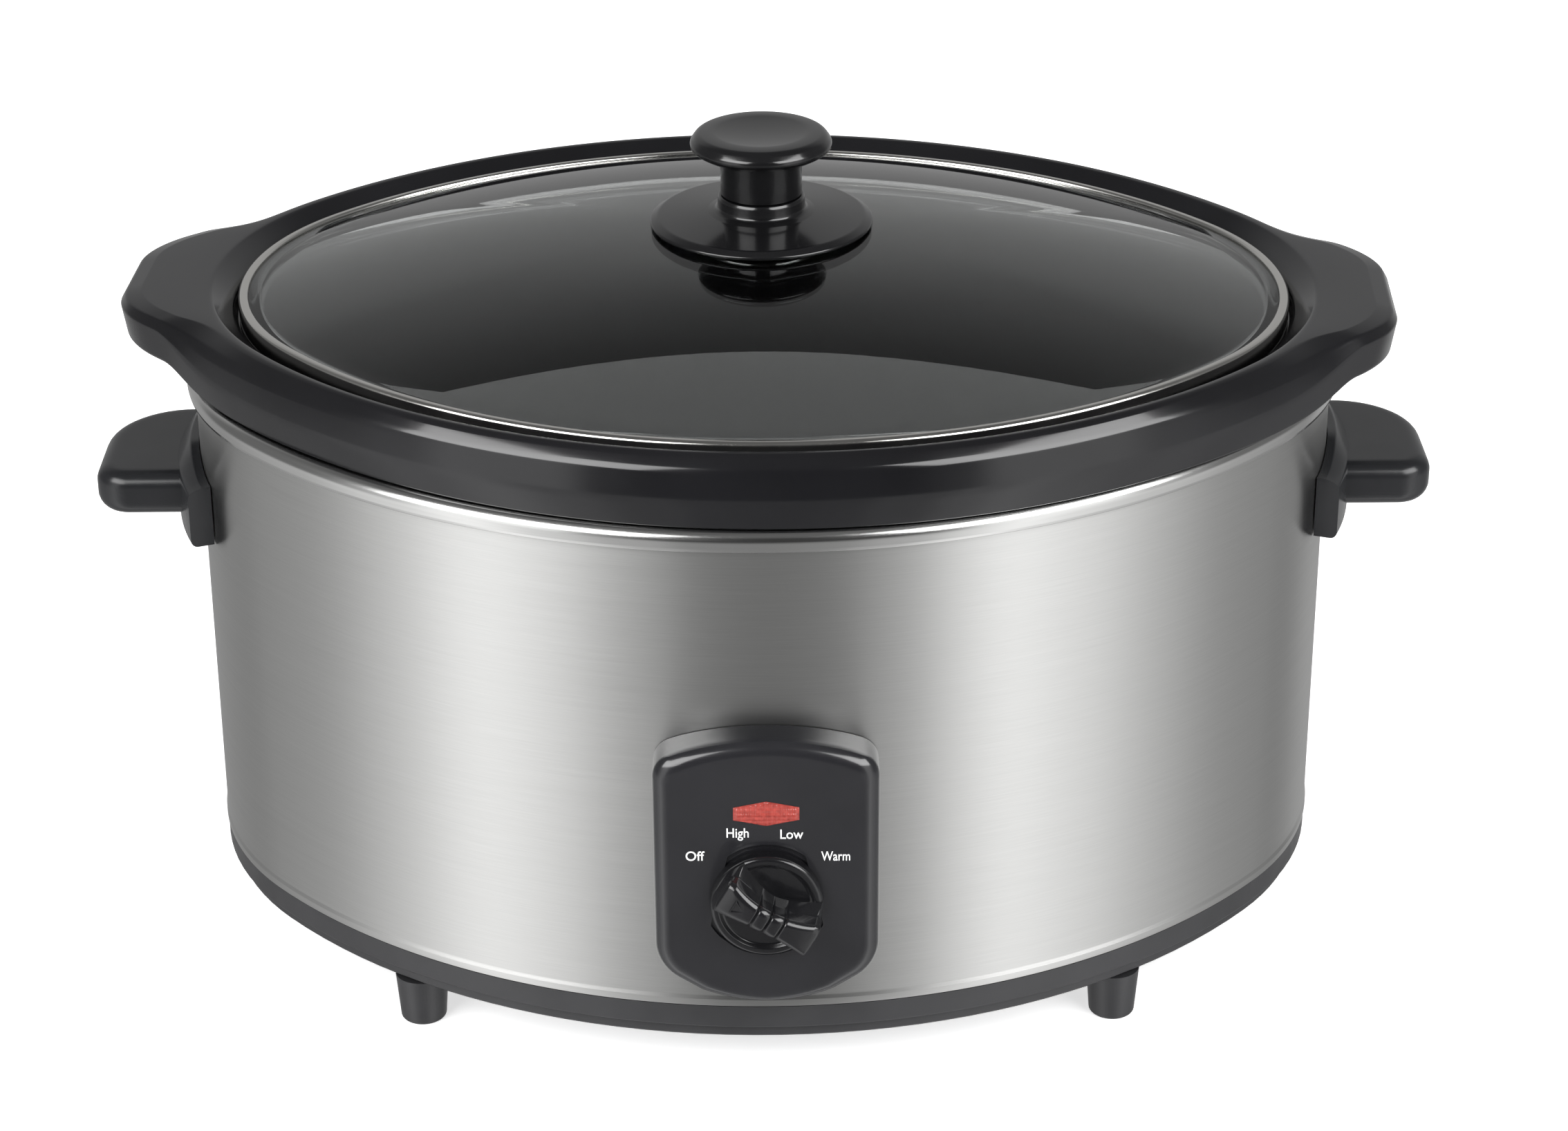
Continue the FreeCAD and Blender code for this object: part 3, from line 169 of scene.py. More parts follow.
def middle_height(node):
    """The height of the middle of a CAD node."""
    low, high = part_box(node)
    return (low.z + high.z) / 2


def smoothstep(low, high, number):
    """Rise smoothly from 0 at low to 1 at high."""
    share = max(0.0, min(1.0, (number - low) / (high - low)))
    return share * share * (3 - 2 * share)


# ---------------------------------------------------------------- materials

class Shader:
    """A node material in the making: a principled shader and short ways to feed it."""

    def __init__(self, name, color, **settings):
        self.material = bpy.data.materials.new(name)
        self.material.use_nodes = True
        self.tree = self.material.node_tree
        self.main = self.tree.nodes["Principled BSDF"]
        self.main.inputs["Base Color"].default_value = (*color, 1)
        self.color = color
        for socket, number in settings.items():
            self.main.inputs[socket.replace("_", " ")].default_value = number
        self.place = self.tree.nodes.new("ShaderNodeTexCoord").outputs["Object"]

    def node(self, kind, **settings):
        node = self.tree.nodes.new("ShaderNode" + kind)
        for name, setting in settings.items():
            if name in node.inputs:
                node.inputs[name].default_value = setting
            else:
                setattr(node, name, setting)
        return node

    def link(self, output, target):
        self.tree.links.new(output, target)

    def stretched(self, scale):
        mapping = self.node("Mapping")
        mapping.inputs["Scale"].default_value = scale
        self.link(self.place, mapping.inputs["Vector"])
        return mapping.outputs["Vector"]

    def noise(self, scale, detail=3.0, stretch=(1, 1, 1), rough=0.5):
        texture = self.node("TexNoise", Scale=scale, Detail=detail, Roughness=rough)
        self.link(self.stretched(stretch), texture.inputs["Vector"])
        return texture.outputs["Fac"]

    def spread(self, source, low, high, start=0.3, stop=0.7):
        """Map a pattern to a range of numbers."""
        node = self.node("MapRange")
        for name, number in (("From Min", start), ("From Max", stop), ("To Min", low), ("To Max", high)):
            node.inputs[name].default_value = number
        self.link(source, node.inputs["Value"])
        return node.outputs["Result"]

    def shade(self, source, dark, light):
        """Vary the base colour between two shares of itself."""
        ramp = self.node("ValToRGB")
        for stop, share, place in zip(ramp.color_ramp.elements, (dark, light), (0.3, 0.7)):
            stop.color = (*[min(1.0, part * share) for part in self.color], 1)
            stop.position = place
        self.link(source, ramp.inputs["Fac"])
        self.link(ramp.outputs["Color"], self.main.inputs["Base Color"])

    def rough(self, source, low, high):
        self.link(self.spread(source, low, high), self.main.inputs["Roughness"])

    def bump(self, source, strength, distance):
        node = self.node("Bump", Strength=strength, Distance=distance)
        self.link(source, node.inputs["Height"])
        self.link(node.outputs["Normal"], self.main.inputs["Normal"])

    def brush_round(self, amount):
        """Stretch highlights across a grain that runs round the vertical axis."""
        tangent = self.node("Tangent", direction_type="RADIAL", axis="Z")
        self.link(tangent.outputs["Tangent"], self.main.inputs["Tangent"])
        self.main.inputs["Anisotropic"].default_value = amount
        self.main.inputs["Anisotropic Rotation"].default_value = 0.25


def brushed_steel():
    """Sheet steel with a fine horizontal grain."""
    shader = Shader("brushed_steel", (0.62, 0.62, 0.61), Metallic=1.0)
    grain = shader.noise(1, 5, (40, 40, 4200), 0.75)
    streak = shader.noise(1, 3, (9, 9, 1400))
    shader.shade(grain, 0.95, 1.05)
    shader.rough(streak, 0.30, 0.33)
    shader.bump(grain, 0.06, 0.00003)
    shader.brush_round(0.85)
    return shader.material


def satin_steel():
    """The rolled lip: drawn steel with faint rings."""
    shader = Shader("satin_steel", (0.70, 0.70, 0.69), Metallic=1.0)
    rings = shader.noise(1, 3, (14, 14, 2400))
    shader.shade(rings, 0.98, 1.02)
    shader.rough(rings, 0.17, 0.21)
    shader.bump(rings, 0.01, 0.00001)
    shader.brush_round(0.4)
    return shader.material


def polished_steel():
    """The lid's rim: bright steel with faint wear."""
    shader = Shader("polished_steel", (0.72, 0.71, 0.68), Metallic=1.0)
    wear = shader.noise(60, 4)
    shader.rough(wear, 0.10, 0.20)
    shader.bump(shader.noise(900, 2), 0.03, 0.00004)
    return shader.material


def plain_metal(name, color, low, high):
    """Metal of the inner parts and fixings."""
    shader = Shader(name, color, Metallic=1.0)
    wear = shader.noise(140, 4)
    shader.shade(wear, 0.85, 1.1)
    shader.rough(wear, low, high)
    shader.bump(shader.noise(1500, 2), 0.08, 0.00005)
    return shader.material


def glaze():
    """Black ceramic glaze: deep gloss over a faintly uneven surface."""
    shader = Shader("black_glaze", (0.007, 0.007, 0.008), IOR=1.5, Coat_Weight=0.2, Coat_Roughness=0.05)
    shader.shade(shader.noise(18, 4), 0.8, 1.25)
    shader.rough(shader.noise(35, 5), 0.10, 0.16)
    shader.bump(shader.noise(26, 3), 0.06, 0.0004)
    return shader.material


def moulded(name, color, low, high, grain_size, depth, coat=0.0):
    """Moulded plastic: a fine spark-eroded grain and slight gloss changes."""
    shader = Shader(name, color, IOR=1.48, Coat_Weight=coat, Coat_Roughness=0.08)
    shader.shade(shader.noise(45, 4), 0.88, 1.12)
    shader.rough(shader.noise(70, 4), low, high)
    shader.bump(shader.noise(grain_size, 3, rough=0.6), 0.25, depth)
    return shader.material


def clear_glass():
    """Tempered glass with the faint waviness of pressed glass."""
    shader = Shader("lid_glass_clear", (0.96, 0.985, 0.975), IOR=1.5, Transmission_Weight=1.0)
    shader.rough(shader.noise(30, 2), 0.0, 0.012)
    shader.bump(shader.noise(14, 2), 0.03, 0.0004)
    return shader.material


def red_lens():
    """Red acrylic over a bright lamp."""
    shader = Shader("red_lens", (0.30, 0.045, 0.036), IOR=1.49)
    shader.shade(shader.noise(700, 2), 0.8, 1.2)
    shader.rough(shader.noise(200, 3), 0.10, 0.2)
    shader.main.inputs["Emission Color"].default_value = (1.0, 0.13, 0.06, 1)
    shader.main.inputs["Emission Strength"].default_value = 0.01
    return shader.material


def ink():
    """White printing ink."""
    shader = Shader("white_ink", (0.86, 0.86, 0.85))
    shader.shade(shader.noise(900, 3), 0.94, 1.0)
    shader.rough(shader.noise(500, 3), 0.45, 0.6)
    return shader.material


def fibre():
    """Woven glass-fibre tape."""
    shader = Shader("glass_fibre", (0.72, 0.68, 0.56))
    weave = shader.noise(1, 2, (900, 900, 500))
    shader.shade(weave, 0.75, 1.1)
    shader.rough(weave, 0.7, 0.9)
    shader.bump(weave, 0.5, 0.0003)
    return shader.material


STEEL = brushed_steel()
LIP = satin_steel()
POLISHED = polished_steel()
ZINC = plain_metal("zinc_steel", (0.62, 0.62, 0.60), 0.28, 0.45)
SHEET = plain_metal("inner_sheet", (0.56, 0.56, 0.55), 0.35, 0.5)
BRASS = plain_metal("brass_metal", (0.70, 0.52, 0.26), 0.25, 0.4)
GLAZE = glaze()
BASE = moulded("base_plastic", (0.030, 0.030, 0.032), 0.30, 0.42, 2600, 0.00006)
PHENOLIC = moulded("phenolic_black", (0.014, 0.0145, 0.016), 0.18, 0.26, 2200, 0.00004)
KNOB = moulded("knob_black", (0.006, 0.006, 0.0066), 0.13, 0.2, 2000, 0.00002, 0.35)
GLOSSY = moulded("panel_black", (0.014, 0.014, 0.016), 0.16, 0.24, 1500, 0.00001, 0.5)
DIAL = moulded("dial_black", (0.008, 0.008, 0.009), 0.13, 0.2, 1500, 0.00002, 0.3)
RUBBER = moulded("soft_black", (0.028, 0.028, 0.028), 0.55, 0.7, 1800, 0.00008)
CERAMIC = moulded("white_moulding", (0.78, 0.78, 0.74), 0.4, 0.55, 1500, 0.00004)
GLASS = clear_glass()
LENS = red_lens()
INK = ink()
FIBRE = fibre()

SLOT_MATERIALS = {
    "wall_steel": STEEL, "lip_steel": LIP, "inner_steel": SHEET, "fastener_steel": ZINC, "lid_steel": POLISHED,
    "housing_plastic": BASE, "foot_plastic": BASE, "panel_plastic": GLOSSY, "phenolic": PHENOLIC,
    "dial_plastic": DIAL, "lens_red": LENS, "lamp_glass": GLASS, "white_plastic": CERAMIC, "heater_wrap": FIBRE,
    "rubber_black": RUBBER, "stoneware": GLAZE, "lid_glass": GLASS, "brass": BRASS,
}


def dress_frame():
    """Give every CAD node the material of its slot."""
    for entry in frame["record"]["subparts"]:
        node = frame["nodes"][entry["node"]]
        for number in range(max(1, len(node.material_slots))):
            if not node.material_slots:
                node.data.materials.append(None)
            node.material_slots[number].material = SLOT_MATERIALS[entry["material_slot"]]


# ---------------------------------------------------------------- housing

def make_wall():
    """The steel wall with its rolled bead at the bottom."""
    low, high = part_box("outer_casing")
    sheet, bead, swell = 0.8 * MM, 2.2 * MM, 0.35 * MM
    profile = soften([
        (-sheet, low.z, 0), (swell, low.z, 0.3 * MM), (swell, low.z + bead, 0.3 * MM),
        (0, low.z + bead + 1.2 * MM, 1.5 * MM), (0, high.z, 0), (-sheet, high.z, 0)], closed=True)
    oval_sweep("steel_wall", profile, STEEL, "housing", replaced=["outer_casing"], slot="wall_steel")


def make_well():
    """The heated well and the rolled lip that covers the wall's top edge."""
    low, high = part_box("heating_well")
    proud, sheet, outer, inner = 2.4 * MM, 1.2 * MM, -9.7 * MM, -10.5 * MM
    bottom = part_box("outer_casing")[1].z + 0.3 * MM
    profile = soften([
        (BOTTOM_INSET, low.z, 0), (outer, low.z, 4 * MM), (outer, high.z - sheet, 0.4 * MM),
        (proud - sheet, high.z - sheet, 0.6 * MM), (proud - sheet, bottom, 0.2 * MM),
        (proud - 0.2 * MM, bottom, 0.3 * MM), (proud, bottom + 1.0 * MM, 0.3 * MM),
        (proud, bottom + 2.2 * MM, 0.4 * MM), (proud, high.z, 3.4 * MM),
        (inner + 2 * MM, high.z - 0.5 * MM, 1.5 * MM), (inner, high.z - 4 * MM, 2 * MM),
        (inner, low.z + 0.8 * MM, 3.2 * MM), (BOTTOM_INSET, low.z + 0.8 * MM, 0)], 8)
    oval_sweep("rolled_well", profile, LIP, "housing", closed=False, capped=True,
               replaced=["heating_well"], slot="lip_steel", sharp=50)


# ---------------------------------------------------------------- crock

RIM_PROUD = 1.6 * MM
LUG_REACH = 191.5 * MM
LUG_SHIFT = 1.8 * MM
LUG_SPAN = math.radians(65)
LUG_FLANK_ANGLE = math.radians(47)
LUG_FLANK_BASE = 99.6 * MM
LUG_CURL_START = math.radians(39)
LUG_CURL = 90 * MM


def smooth_max(first, second, blend):
    """The larger of two lengths, with the corner between them rounded."""
    near = max(blend - abs(first - second), 0) / blend
    return max(first, second) + near * near * blend / 4


def rim_edge(angle):
    """How far the rim's outer edge stands outside the oval at a station, lugs included."""
    across, deep = abs(math.cos(angle)), abs(math.sin(angle))
    turn = math.atan2(deep, across)
    if turn > LUG_SPAN:
        return RIM_PROUD
    x, y = [abs(part) for part in oval_point(angle)]
    aim = (math.cos(LUG_FLANK_ANGLE), math.sin(LUG_FLANK_ANGLE))
    tip = (LUG_REACH - math.copysign(LUG_SHIFT, math.cos(angle)) - x) / across
    flank = (LUG_FLANK_BASE - (x - END_CENTRE) * aim[0] - y * aim[1]) / (across * aim[0] + deep * aim[1])
    flank -= LUG_CURL * max(0, turn - LUG_CURL_START) ** 2
    return smooth_max(RIM_PROUD, -smooth_max(-tip, -flank, 12 * MM), 9 * MM)


def make_crock():
    """The glazed crock: bowl, slope and seat for the lid, heavy rim and sculpted lugs."""
    low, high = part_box("crock")
    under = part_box("heating_well")[1].z + 0.3 * MM
    outer, inner, thick = -14 * MM, -22 * MM, 9 * MM
    seat = high.z - 9.0 * MM
    inside = soften([
        (-4.4 * MM, high.z, 0), (-6.0 * MM, high.z - 0.2 * MM, 2.2 * MM),
        (-12.4 * MM, high.z - 5.6 * MM, 2.4 * MM), (-13.3 * MM, seat, 0.6 * MM),
        (inner, seat, 2.2 * MM), (inner, low.z + thick, 16 * MM), (BOTTOM_INSET, low.z + thick, 0)], 10)
    outside = soften([
        (BOTTOM_INSET, low.z, 0), (outer, low.z, 24 * MM), (outer, under, 2 * MM), (-9 * MM, under, 0)], 12)
    stations = 720
    angles = [FULL_TURN * station / stations for station in range(stations)]
    rings = [[(*oval_point(angle, offset), height) for angle in angles] for offset, height in outside]
    for row in zip(*[rim_section(rim_edge(angle), under, high.z) for angle in angles]):
        rings.append([(*oval_point(angle, offset), height) for angle, (offset, height) in zip(angles, row)])
    rings += [[(*oval_point(angle, offset), height) for angle in angles] for offset, height in inside]
    make_object("glazed_crock", *skin(rings, False, True), GLAZE, "crock", replaced=["crock"],
                slot="stoneware", sharp=60, turn=CROCK_YAW)


def rim_section(edge, under, top):
    """The rim's section at one station, from its underside, round the outside, to its crest: a full
    round along the sides, and a flat top with two soft creases on a lug."""
    share = smoothstep(0.4 * MM, 11 * MM, edge - RIM_PROUD)

    def blend(rim, lug):
        return [first + (second - first) * share for first, second in zip(rim, lug)]

    lift = 6.5 * MM
    corners = [
        (-8.8 * MM, under, 0),
        blend((edge - 2.4 * MM, under, 0.8 * MM),
              (RIM_PROUD + (edge - RIM_PROUD) * 0.35, under + lift * 0.5, 6 * MM)),
        blend((edge - 0.9 * MM, under - 0.55 * MM, 0.9 * MM), (edge - 1.6 * MM, under + lift, 2.4 * MM)),
        blend((edge + 0.1 * MM, under + 8.0 * MM, 9 * MM), (edge, top - 4.0 * MM, 1.5 * MM)),
        blend((edge - 1.7 * MM, top - 4.0 * MM, 6 * MM), (edge - 1.7 * MM, top - 1.1 * MM, 1.8 * MM)),
        blend((-3.2 * MM, top - 0.2 * MM, 3.2 * MM), (edge - 6.5 * MM, top - 0.1 * MM, 3 * MM)),
        (-4.4 * MM, top, 0)]
    return soften(corners, 8)


# ---------------------------------------------------------------- lid

def make_rim_band():
    """The rolled steel rim that grips the edge of the glass."""
    low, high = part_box("lid_rim_band")
    outside, inside = -14 * MM, -17 * MM
    profile = soften([
        (outside, low.z, 1.3 * MM), (outside, high.z, 1.3 * MM), (inside, high.z, 0.9 * MM),
        (inside, high.z - 1.2 * MM, 0.2 * MM), (inside + 1.2 * MM, high.z - 1.6 * MM, 0.2 * MM),
        (inside + 1.2 * MM, low.z + 1.6 * MM, 0.2 * MM), (inside, low.z + 1.2 * MM, 0.2 * MM),
        (inside, low.z, 0.9 * MM)], 5, True)
    oval_sweep("steel_rim", profile, POLISHED, "lid", replaced=["lid_rim_band"], slot="lid_steel", turn=CROCK_YAW)


def make_glass():
    """The domed glass: an outer and an inner face, joined round the edge that the rim grips."""
    low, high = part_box("lid_rim_band")
    edge_low, edge_high = low.z + 1.0 * MM, high.z - 1.0 * MM
    flat, hole, thick, rows = 0.2, 0.02, 4.0 * MM, 36
    outside, edge, corner = -17.3 * MM, -15.0 * MM, 0.4 * MM
    inside = outside - thick
    rise = (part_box("lid_glass")[1].z - edge_high) / (1 - flat ** 2)
    outer, inner = [], []
    for row in range(rows):
        share = 1 - (1 - hole) * (row / (rows - 1)) ** 0.9
        lift = rise * (1 - max(share, flat) ** 2)
        outer.append((share, outside * share, edge_high + lift))
        inner.append((share, inside * share, edge_high - thick + lift))
    rim = [(1, inside, edge_low), (1, edge - corner, edge_low), (1, edge, edge_low + corner),
           (1, edge, edge_high - corner), (1, edge - corner, edge_high)]
    path = inner[::-1] + rim + outer
    oval_sweep("glass_dome", [(offset, height) for _, offset, height in path], GLASS, "lid", closed=False,
               capped=True, share=[share for share, _, _ in path], replaced=["lid_glass"], slot="lid_glass",
               sharp=60, turn=CROCK_YAW)


def make_knob():
    """The knob: a skirt with its collar, a dished cap on a stem, and the boss under the glass."""
    low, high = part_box("lid_knob_skirt")
    skirt, stem, bolt = high.x, 12.7 * MM, 2.8 * MM
    tall = high.z - low.z
    profile = soften([
        (bolt, 0, 0), (8 * MM, 0, 0), (10 * MM, 0.7 * MM, 1 * MM), (skirt - 6 * MM, 0.7 * MM, 1 * MM),
        (skirt - 4 * MM, 0, 0.8 * MM), (skirt - 0.5 * MM, 0, 0.7 * MM), (skirt, 0.9 * MM, 0.8 * MM),
        (skirt - 2.6 * MM, 2.2 * MM, 3 * MM), (stem + 3.4 * MM, 3.8 * MM, 3 * MM),
        (stem + 0.5 * MM, 4.4 * MM, 1.6 * MM), (stem + 0.35 * MM, tall - 0.9 * MM, 1.2 * MM),
        (stem - 0.1 * MM, tall, 0.35 * MM), (bolt, tall, 0)], 8)
    lathe("knob_skirt", profile, KNOB, "lid", (0, 0, low.z), closed=True, replaced=["lid_knob_skirt"],
          slot="phenolic")
    low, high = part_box("lid_knob")
    tall, cap, neck, dish_rows = high.z - low.z, high.x, 12.3 * MM, 12
    profile = soften([
        (0.2 * MM, 0, 0), (stem - 0.5 * MM, 0, 0.35 * MM), (stem - 0.45 * MM, neck - 0.2 * MM, 1.2 * MM),
        (cap - 3.6 * MM, neck + 0.2 * MM, 3 * MM), (cap - 0.5 * MM, neck + 2.0 * MM, 2.2 * MM),
        (cap - 0.28 * MM, neck + 2.5 * MM, 0.1 * MM), (cap - 0.05 * MM, neck + 2.65 * MM, 0.1 * MM),
        (cap, neck + 3.9 * MM, 2.5 * MM), (cap - 1.9 * MM, tall - 0.5 * MM, 3 * MM),
        (cap - 5.5 * MM, tall - 0.05 * MM, 6 * MM)], 9)
    profile.pop()
    for row in range(dish_rows + 1):
        share = 1 - row / dish_rows
        profile.append((max(0.2 * MM, (cap - 6.5 * MM) * share), tall - 1.0 * MM + 0.9 * MM * share ** 2))
    lathe("knob_cap", profile, KNOB, "lid", (0, 0, low.z), replaced=["lid_knob"], slot="phenolic", sharp=50)
    low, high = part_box("lid_knob_washer")
    wide, tall = high.x, high.z - low.z
    profile = soften([
        (bolt, 0, 0), (wide - 2.5 * MM, 0, 0), (wide - 0.4 * MM, 0.3 * MM, 1.0 * MM),
        (wide, 1.6 * MM, 1.0 * MM), (wide - 0.5 * MM, 2.8 * MM, 0.9 * MM), (wide - 2.5 * MM, 3.2 * MM, 1.2 * MM),
        (10.5 * MM, 5.6 * MM, 1.2 * MM), (10.4 * MM, tall, 0.3 * MM), (bolt, tall, 0)], 6)
    lathe("knob_boss", profile, KNOB, "lid", (0, 0, low.z), closed=True, replaced=["lid_knob_washer"],
          slot="phenolic")


# ---------------------------------------------------------------- control panel, dial and handles

def make_dial():
    """The dial: a dished disc, and a waisted, grooved grip with a small pointer mark."""
    low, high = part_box("control_knob")
    disc, thick, tall, off, around = 16 * MM, 5 * MM, 9.6 * MM, math.radians(60), 200
    centre = middle_height("control_knob")
    profile = soften([
        (0.2 * MM, 0, 0), (disc - 0.4 * MM, 0, 0.3 * MM), (disc, 0.4 * MM, 0.3 * MM), (disc, thick, 1.4 * MM),
        (disc - 2.2 * MM, thick, 0.6 * MM), (disc - 3.4 * MM, thick - 1.1 * MM, 1.4 * MM),
        (0.2 * MM, thick - 1.1 * MM, 0)], 8)
    rings = []
    for radius, depth in profile:
        rings.append([(radius * math.cos(FULL_TURN * step / around), high.y - depth,
                       centre + radius * math.sin(FULL_TURN * step / around)) for step in range(around)])
    make_object("dial_disc", *skin(rings, False, True), DIAL, "dial", replaced=["control_knob"],
                slot="dial_plastic", sharp=50)

    rings, stations, length, groove_pitch = [], 150, 15.2 * MM, 4.2 * MM
    for station in range(stations + 1):
        along = length * (1 - 2 * station / stations)
        reach = abs(along) / length
        chord = math.sqrt(max(0.0, (disc - 0.5 * MM) ** 2 - along ** 2))
        crest = (3.3 + 2.2 * reach ** 2) * MM
        upper = min((4.4 + 6.6 * reach ** 1.6) * MM, chord + 0.6 * MM)
        lower = min((4.4 + 2.0 * reach ** 2) * MM, chord + 0.6 * MM)
        crest = min(crest, lower - 0.8 * MM, upper - 0.8 * MM)
        height = tall - (3.4 if along > 0 else 1.8) * MM * reach ** 3
        for groove in (groove_pitch, 0, -groove_pitch):
            notch = math.exp(-((along - groove) / (0.30 * MM)) ** 2)
            height -= 0.6 * MM * notch
            crest -= 0.35 * MM * notch
            lower -= 0.4 * MM * notch
        if abs(along) < groove_pitch:
            swell = abs(math.sin(math.pi * along / groove_pitch))
            height += 0.25 * MM * swell
            crest += 0.2 * MM * swell
        ease = min(1.0, (1 - reach) / 0.06)
        height = max(0.6 * MM, height * (0.72 + 0.28 * math.sqrt(ease * (2 - ease))))
        section = soften([
            (-lower, -1.6 * MM, 0), (-lower, 0.2 * MM, 0.4 * MM), (-crest, height, 2.6 * MM),
            (crest, height, 2.4 * MM), (crest + (upper - crest) * 0.35, height * 0.42, 2.5 * MM),
            (upper, 0.2 * MM, 0.4 * MM), (upper, -1.6 * MM, 0)], 8)
        ring = []
        for across, out in section:
            x = -along * math.sin(off) + across * math.cos(off)
            z = along * math.cos(off) + across * math.sin(off)
            ring.append((x, high.y - thick - out, centre + z))
        rings.append(ring)
    make_object("dial_grip", *skin(rings, False, True), DIAL, "dial", slot="dial_plastic", sharp=50)

    corners, wire = [(8.0, 0), (11.0, 1.9), (11.0, -1.9)], 0.22 * MM
    for number, (along, across) in enumerate(corners):
        following = corners[(number + 1) % 3]
        ends = []
        for far, side in ((along, across), following):
            far, side = far * MM, side * MM
            ends.append(Vector((-far * math.sin(off) + side * math.cos(off), high.y - thick - tall + 1.0 * MM,
                                centre + far * math.cos(off) + side * math.sin(off))))
        run = (ends[1] - ends[0]).normalized()
        beside = run.cross(Vector((0, 1, 0)))
        bar = [[end + beside * wire * math.cos(turn) + Vector((0, 0.5 * MM * math.sin(turn), 0))
                for turn in [FULL_TURN * step / 12 for step in range(12)]] for end in ends]
        make_object("pointer_mark_%d" % number, *skin(bar, False, True), DIAL, "dial", slot="dial_plastic")


def make_panel():
    """The panel: upright sides that meet the wall, a soft edge and a face with the dial's recess."""
    low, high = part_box("control_panel")
    half, crown, chin, soft = high.x, 7.0 * MM, 12.0 * MM, 4.6 * MM
    middle = middle_height("control_knob")
    recess, sink, hole = 18.2 * MM, 1.2 * MM, 5.5 * MM
    crown_round, chin_round, count, edge_steps = 8 * MM, 14 * MM, 40, 10

    def outline(inset):
        points = []
        wide = half - inset
        for top, drop, sign in ((high.z - inset, crown, 1), (low.z + inset, chin, -1)):
            radius = (wide ** 2 + drop ** 2) / (2 * drop)
            arc = []
            for step in range(count + 1):
                x = wide * (1 - 2 * step / count) * sign
                arc.append((x, top - sign * (radius - math.sqrt(radius ** 2 - x ** 2))))
            points.append(arc)
        upper, lower = crown_round - inset * 0.6, chin_round - inset
        corners = [(*points[0][0], upper)] + [(x, z, 0) for x, z in points[0][5:-5]]
        corners += [(*points[0][-1], upper), (*points[1][0], lower)]
        corners += [(x, z, 0) for x, z in points[1][8:-8]] + [(*points[1][-1], lower)]
        return soften(corners, 10, True)

    def wall_y(x):
        return -(math.sqrt((LONG_RADIUS + 0.3 * MM) ** 2 - x ** 2) - LONG_CENTRE)

    rings = [[(x, wall_y(x), z) for x, z in outline(0)], [(x, low.y + soft, z) for x, z in outline(0)]]
    for step in range(1, edge_steps + 1):
        turn = math.pi / 2 * step / edge_steps
        depth = soft * (1 - math.sin(turn))
        rings.append([(x, low.y + depth, z) for x, z in outline(soft * (1 - math.cos(turn)))])
    edge = rings[-1]
    angles = [math.atan2(z - middle, x) for x, _, z in edge]
    for share in (0.35, 0.7, 1.0):
        rings.append([(x + (recess * math.cos(angle) - x) * share, low.y,
                       z + (middle + recess * math.sin(angle) - z) * share)
                      for (x, _, z), angle in zip(edge, angles)])
    for radius, depth in ((recess - 0.15 * MM, 0.05 * MM), (recess - 0.3 * MM, 0.3 * MM),
                          (recess - 0.3 * MM, sink), (hole, sink), (hole, sink + 2 * MM)):
        rings.append([(radius * math.cos(angle), low.y + depth, middle + radius * math.sin(angle))
                      for angle in angles])
    make_object("panel_cover", *skin(rings, False, False), GLOSSY, "housing", replaced=["control_panel"],
                slot="panel_plastic", sharp=40)


def make_handles():
    """The side handles: a grip with a tight near corner and a round far one, on a plate along the wall."""
    half, plate_half, stations = 27 * MM, 38 * MM, 24
    back = END_RADIUS + 0.3 * MM
    start = END_CENTRE + END_RADIUS - 4 * MM
    span = math.asin(plate_half / (END_RADIUS + 3.5 * MM))
    for name, side in (("left", -1), ("right", 1)):
        node = name + "_handle"
        low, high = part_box(node)
        reach = max(abs(low.x), abs(high.x))
        grip_low, grip_high = low.z + 4.2 * MM, high.z - 5.3 * MM
        section = soften([
            (0, grip_low, 0), (-6 * MM, grip_low, 0), (0, grip_low, 5.6 * MM), (0, grip_high, 4.8 * MM),
            (-6 * MM, grip_high, 0)], 8)[1:]
        rings = []
        for inset, height in section:
            rings.append([(side * x, y, height) for x, y in soften([
                (start, -half - inset, 0), (reach + inset, -half - inset, 10 * MM + inset),
                (reach + inset, half + inset, 25 * MM + inset), (start, half + inset, 0)], 12)])
        make_object(node + "_grip", *skin(rings, False, True), PHENOLIC, "housing", replaced=[node],
                    slot="phenolic", sharp=50)
        rings = []
        for station in range(-stations, stations + 1):
            angle = span * min(1, abs(station) / (stations - 2)) * (1 if station > 0 else -1)
            shrink = {stations: 1.2, stations - 1: 0.35}.get(abs(station), 0) * MM
            out = END_RADIUS + 7.4 * MM - shrink
            rise = 5.3 * MM * (1 - 0.85 * smoothstep(0.3, 1.0, abs(angle) / span))
            ring = soften([
                (back, low.z + shrink, 0), (out, low.z + shrink, 2.2 * MM), (out, grip_high - 0.5 * MM, 3 * MM),
                (back + 2.6 * MM, grip_high + rise - shrink, 1.0 * MM), (back, grip_high + rise - shrink, 0)], 6)
            rings.append([(side * (END_CENTRE + radius * math.cos(angle)), radius * math.sin(angle), height)
                          for radius, height in ring])
        make_object(node + "_plate", *skin(rings, False, True), PHENOLIC, "housing", slot="phenolic", sharp=50)


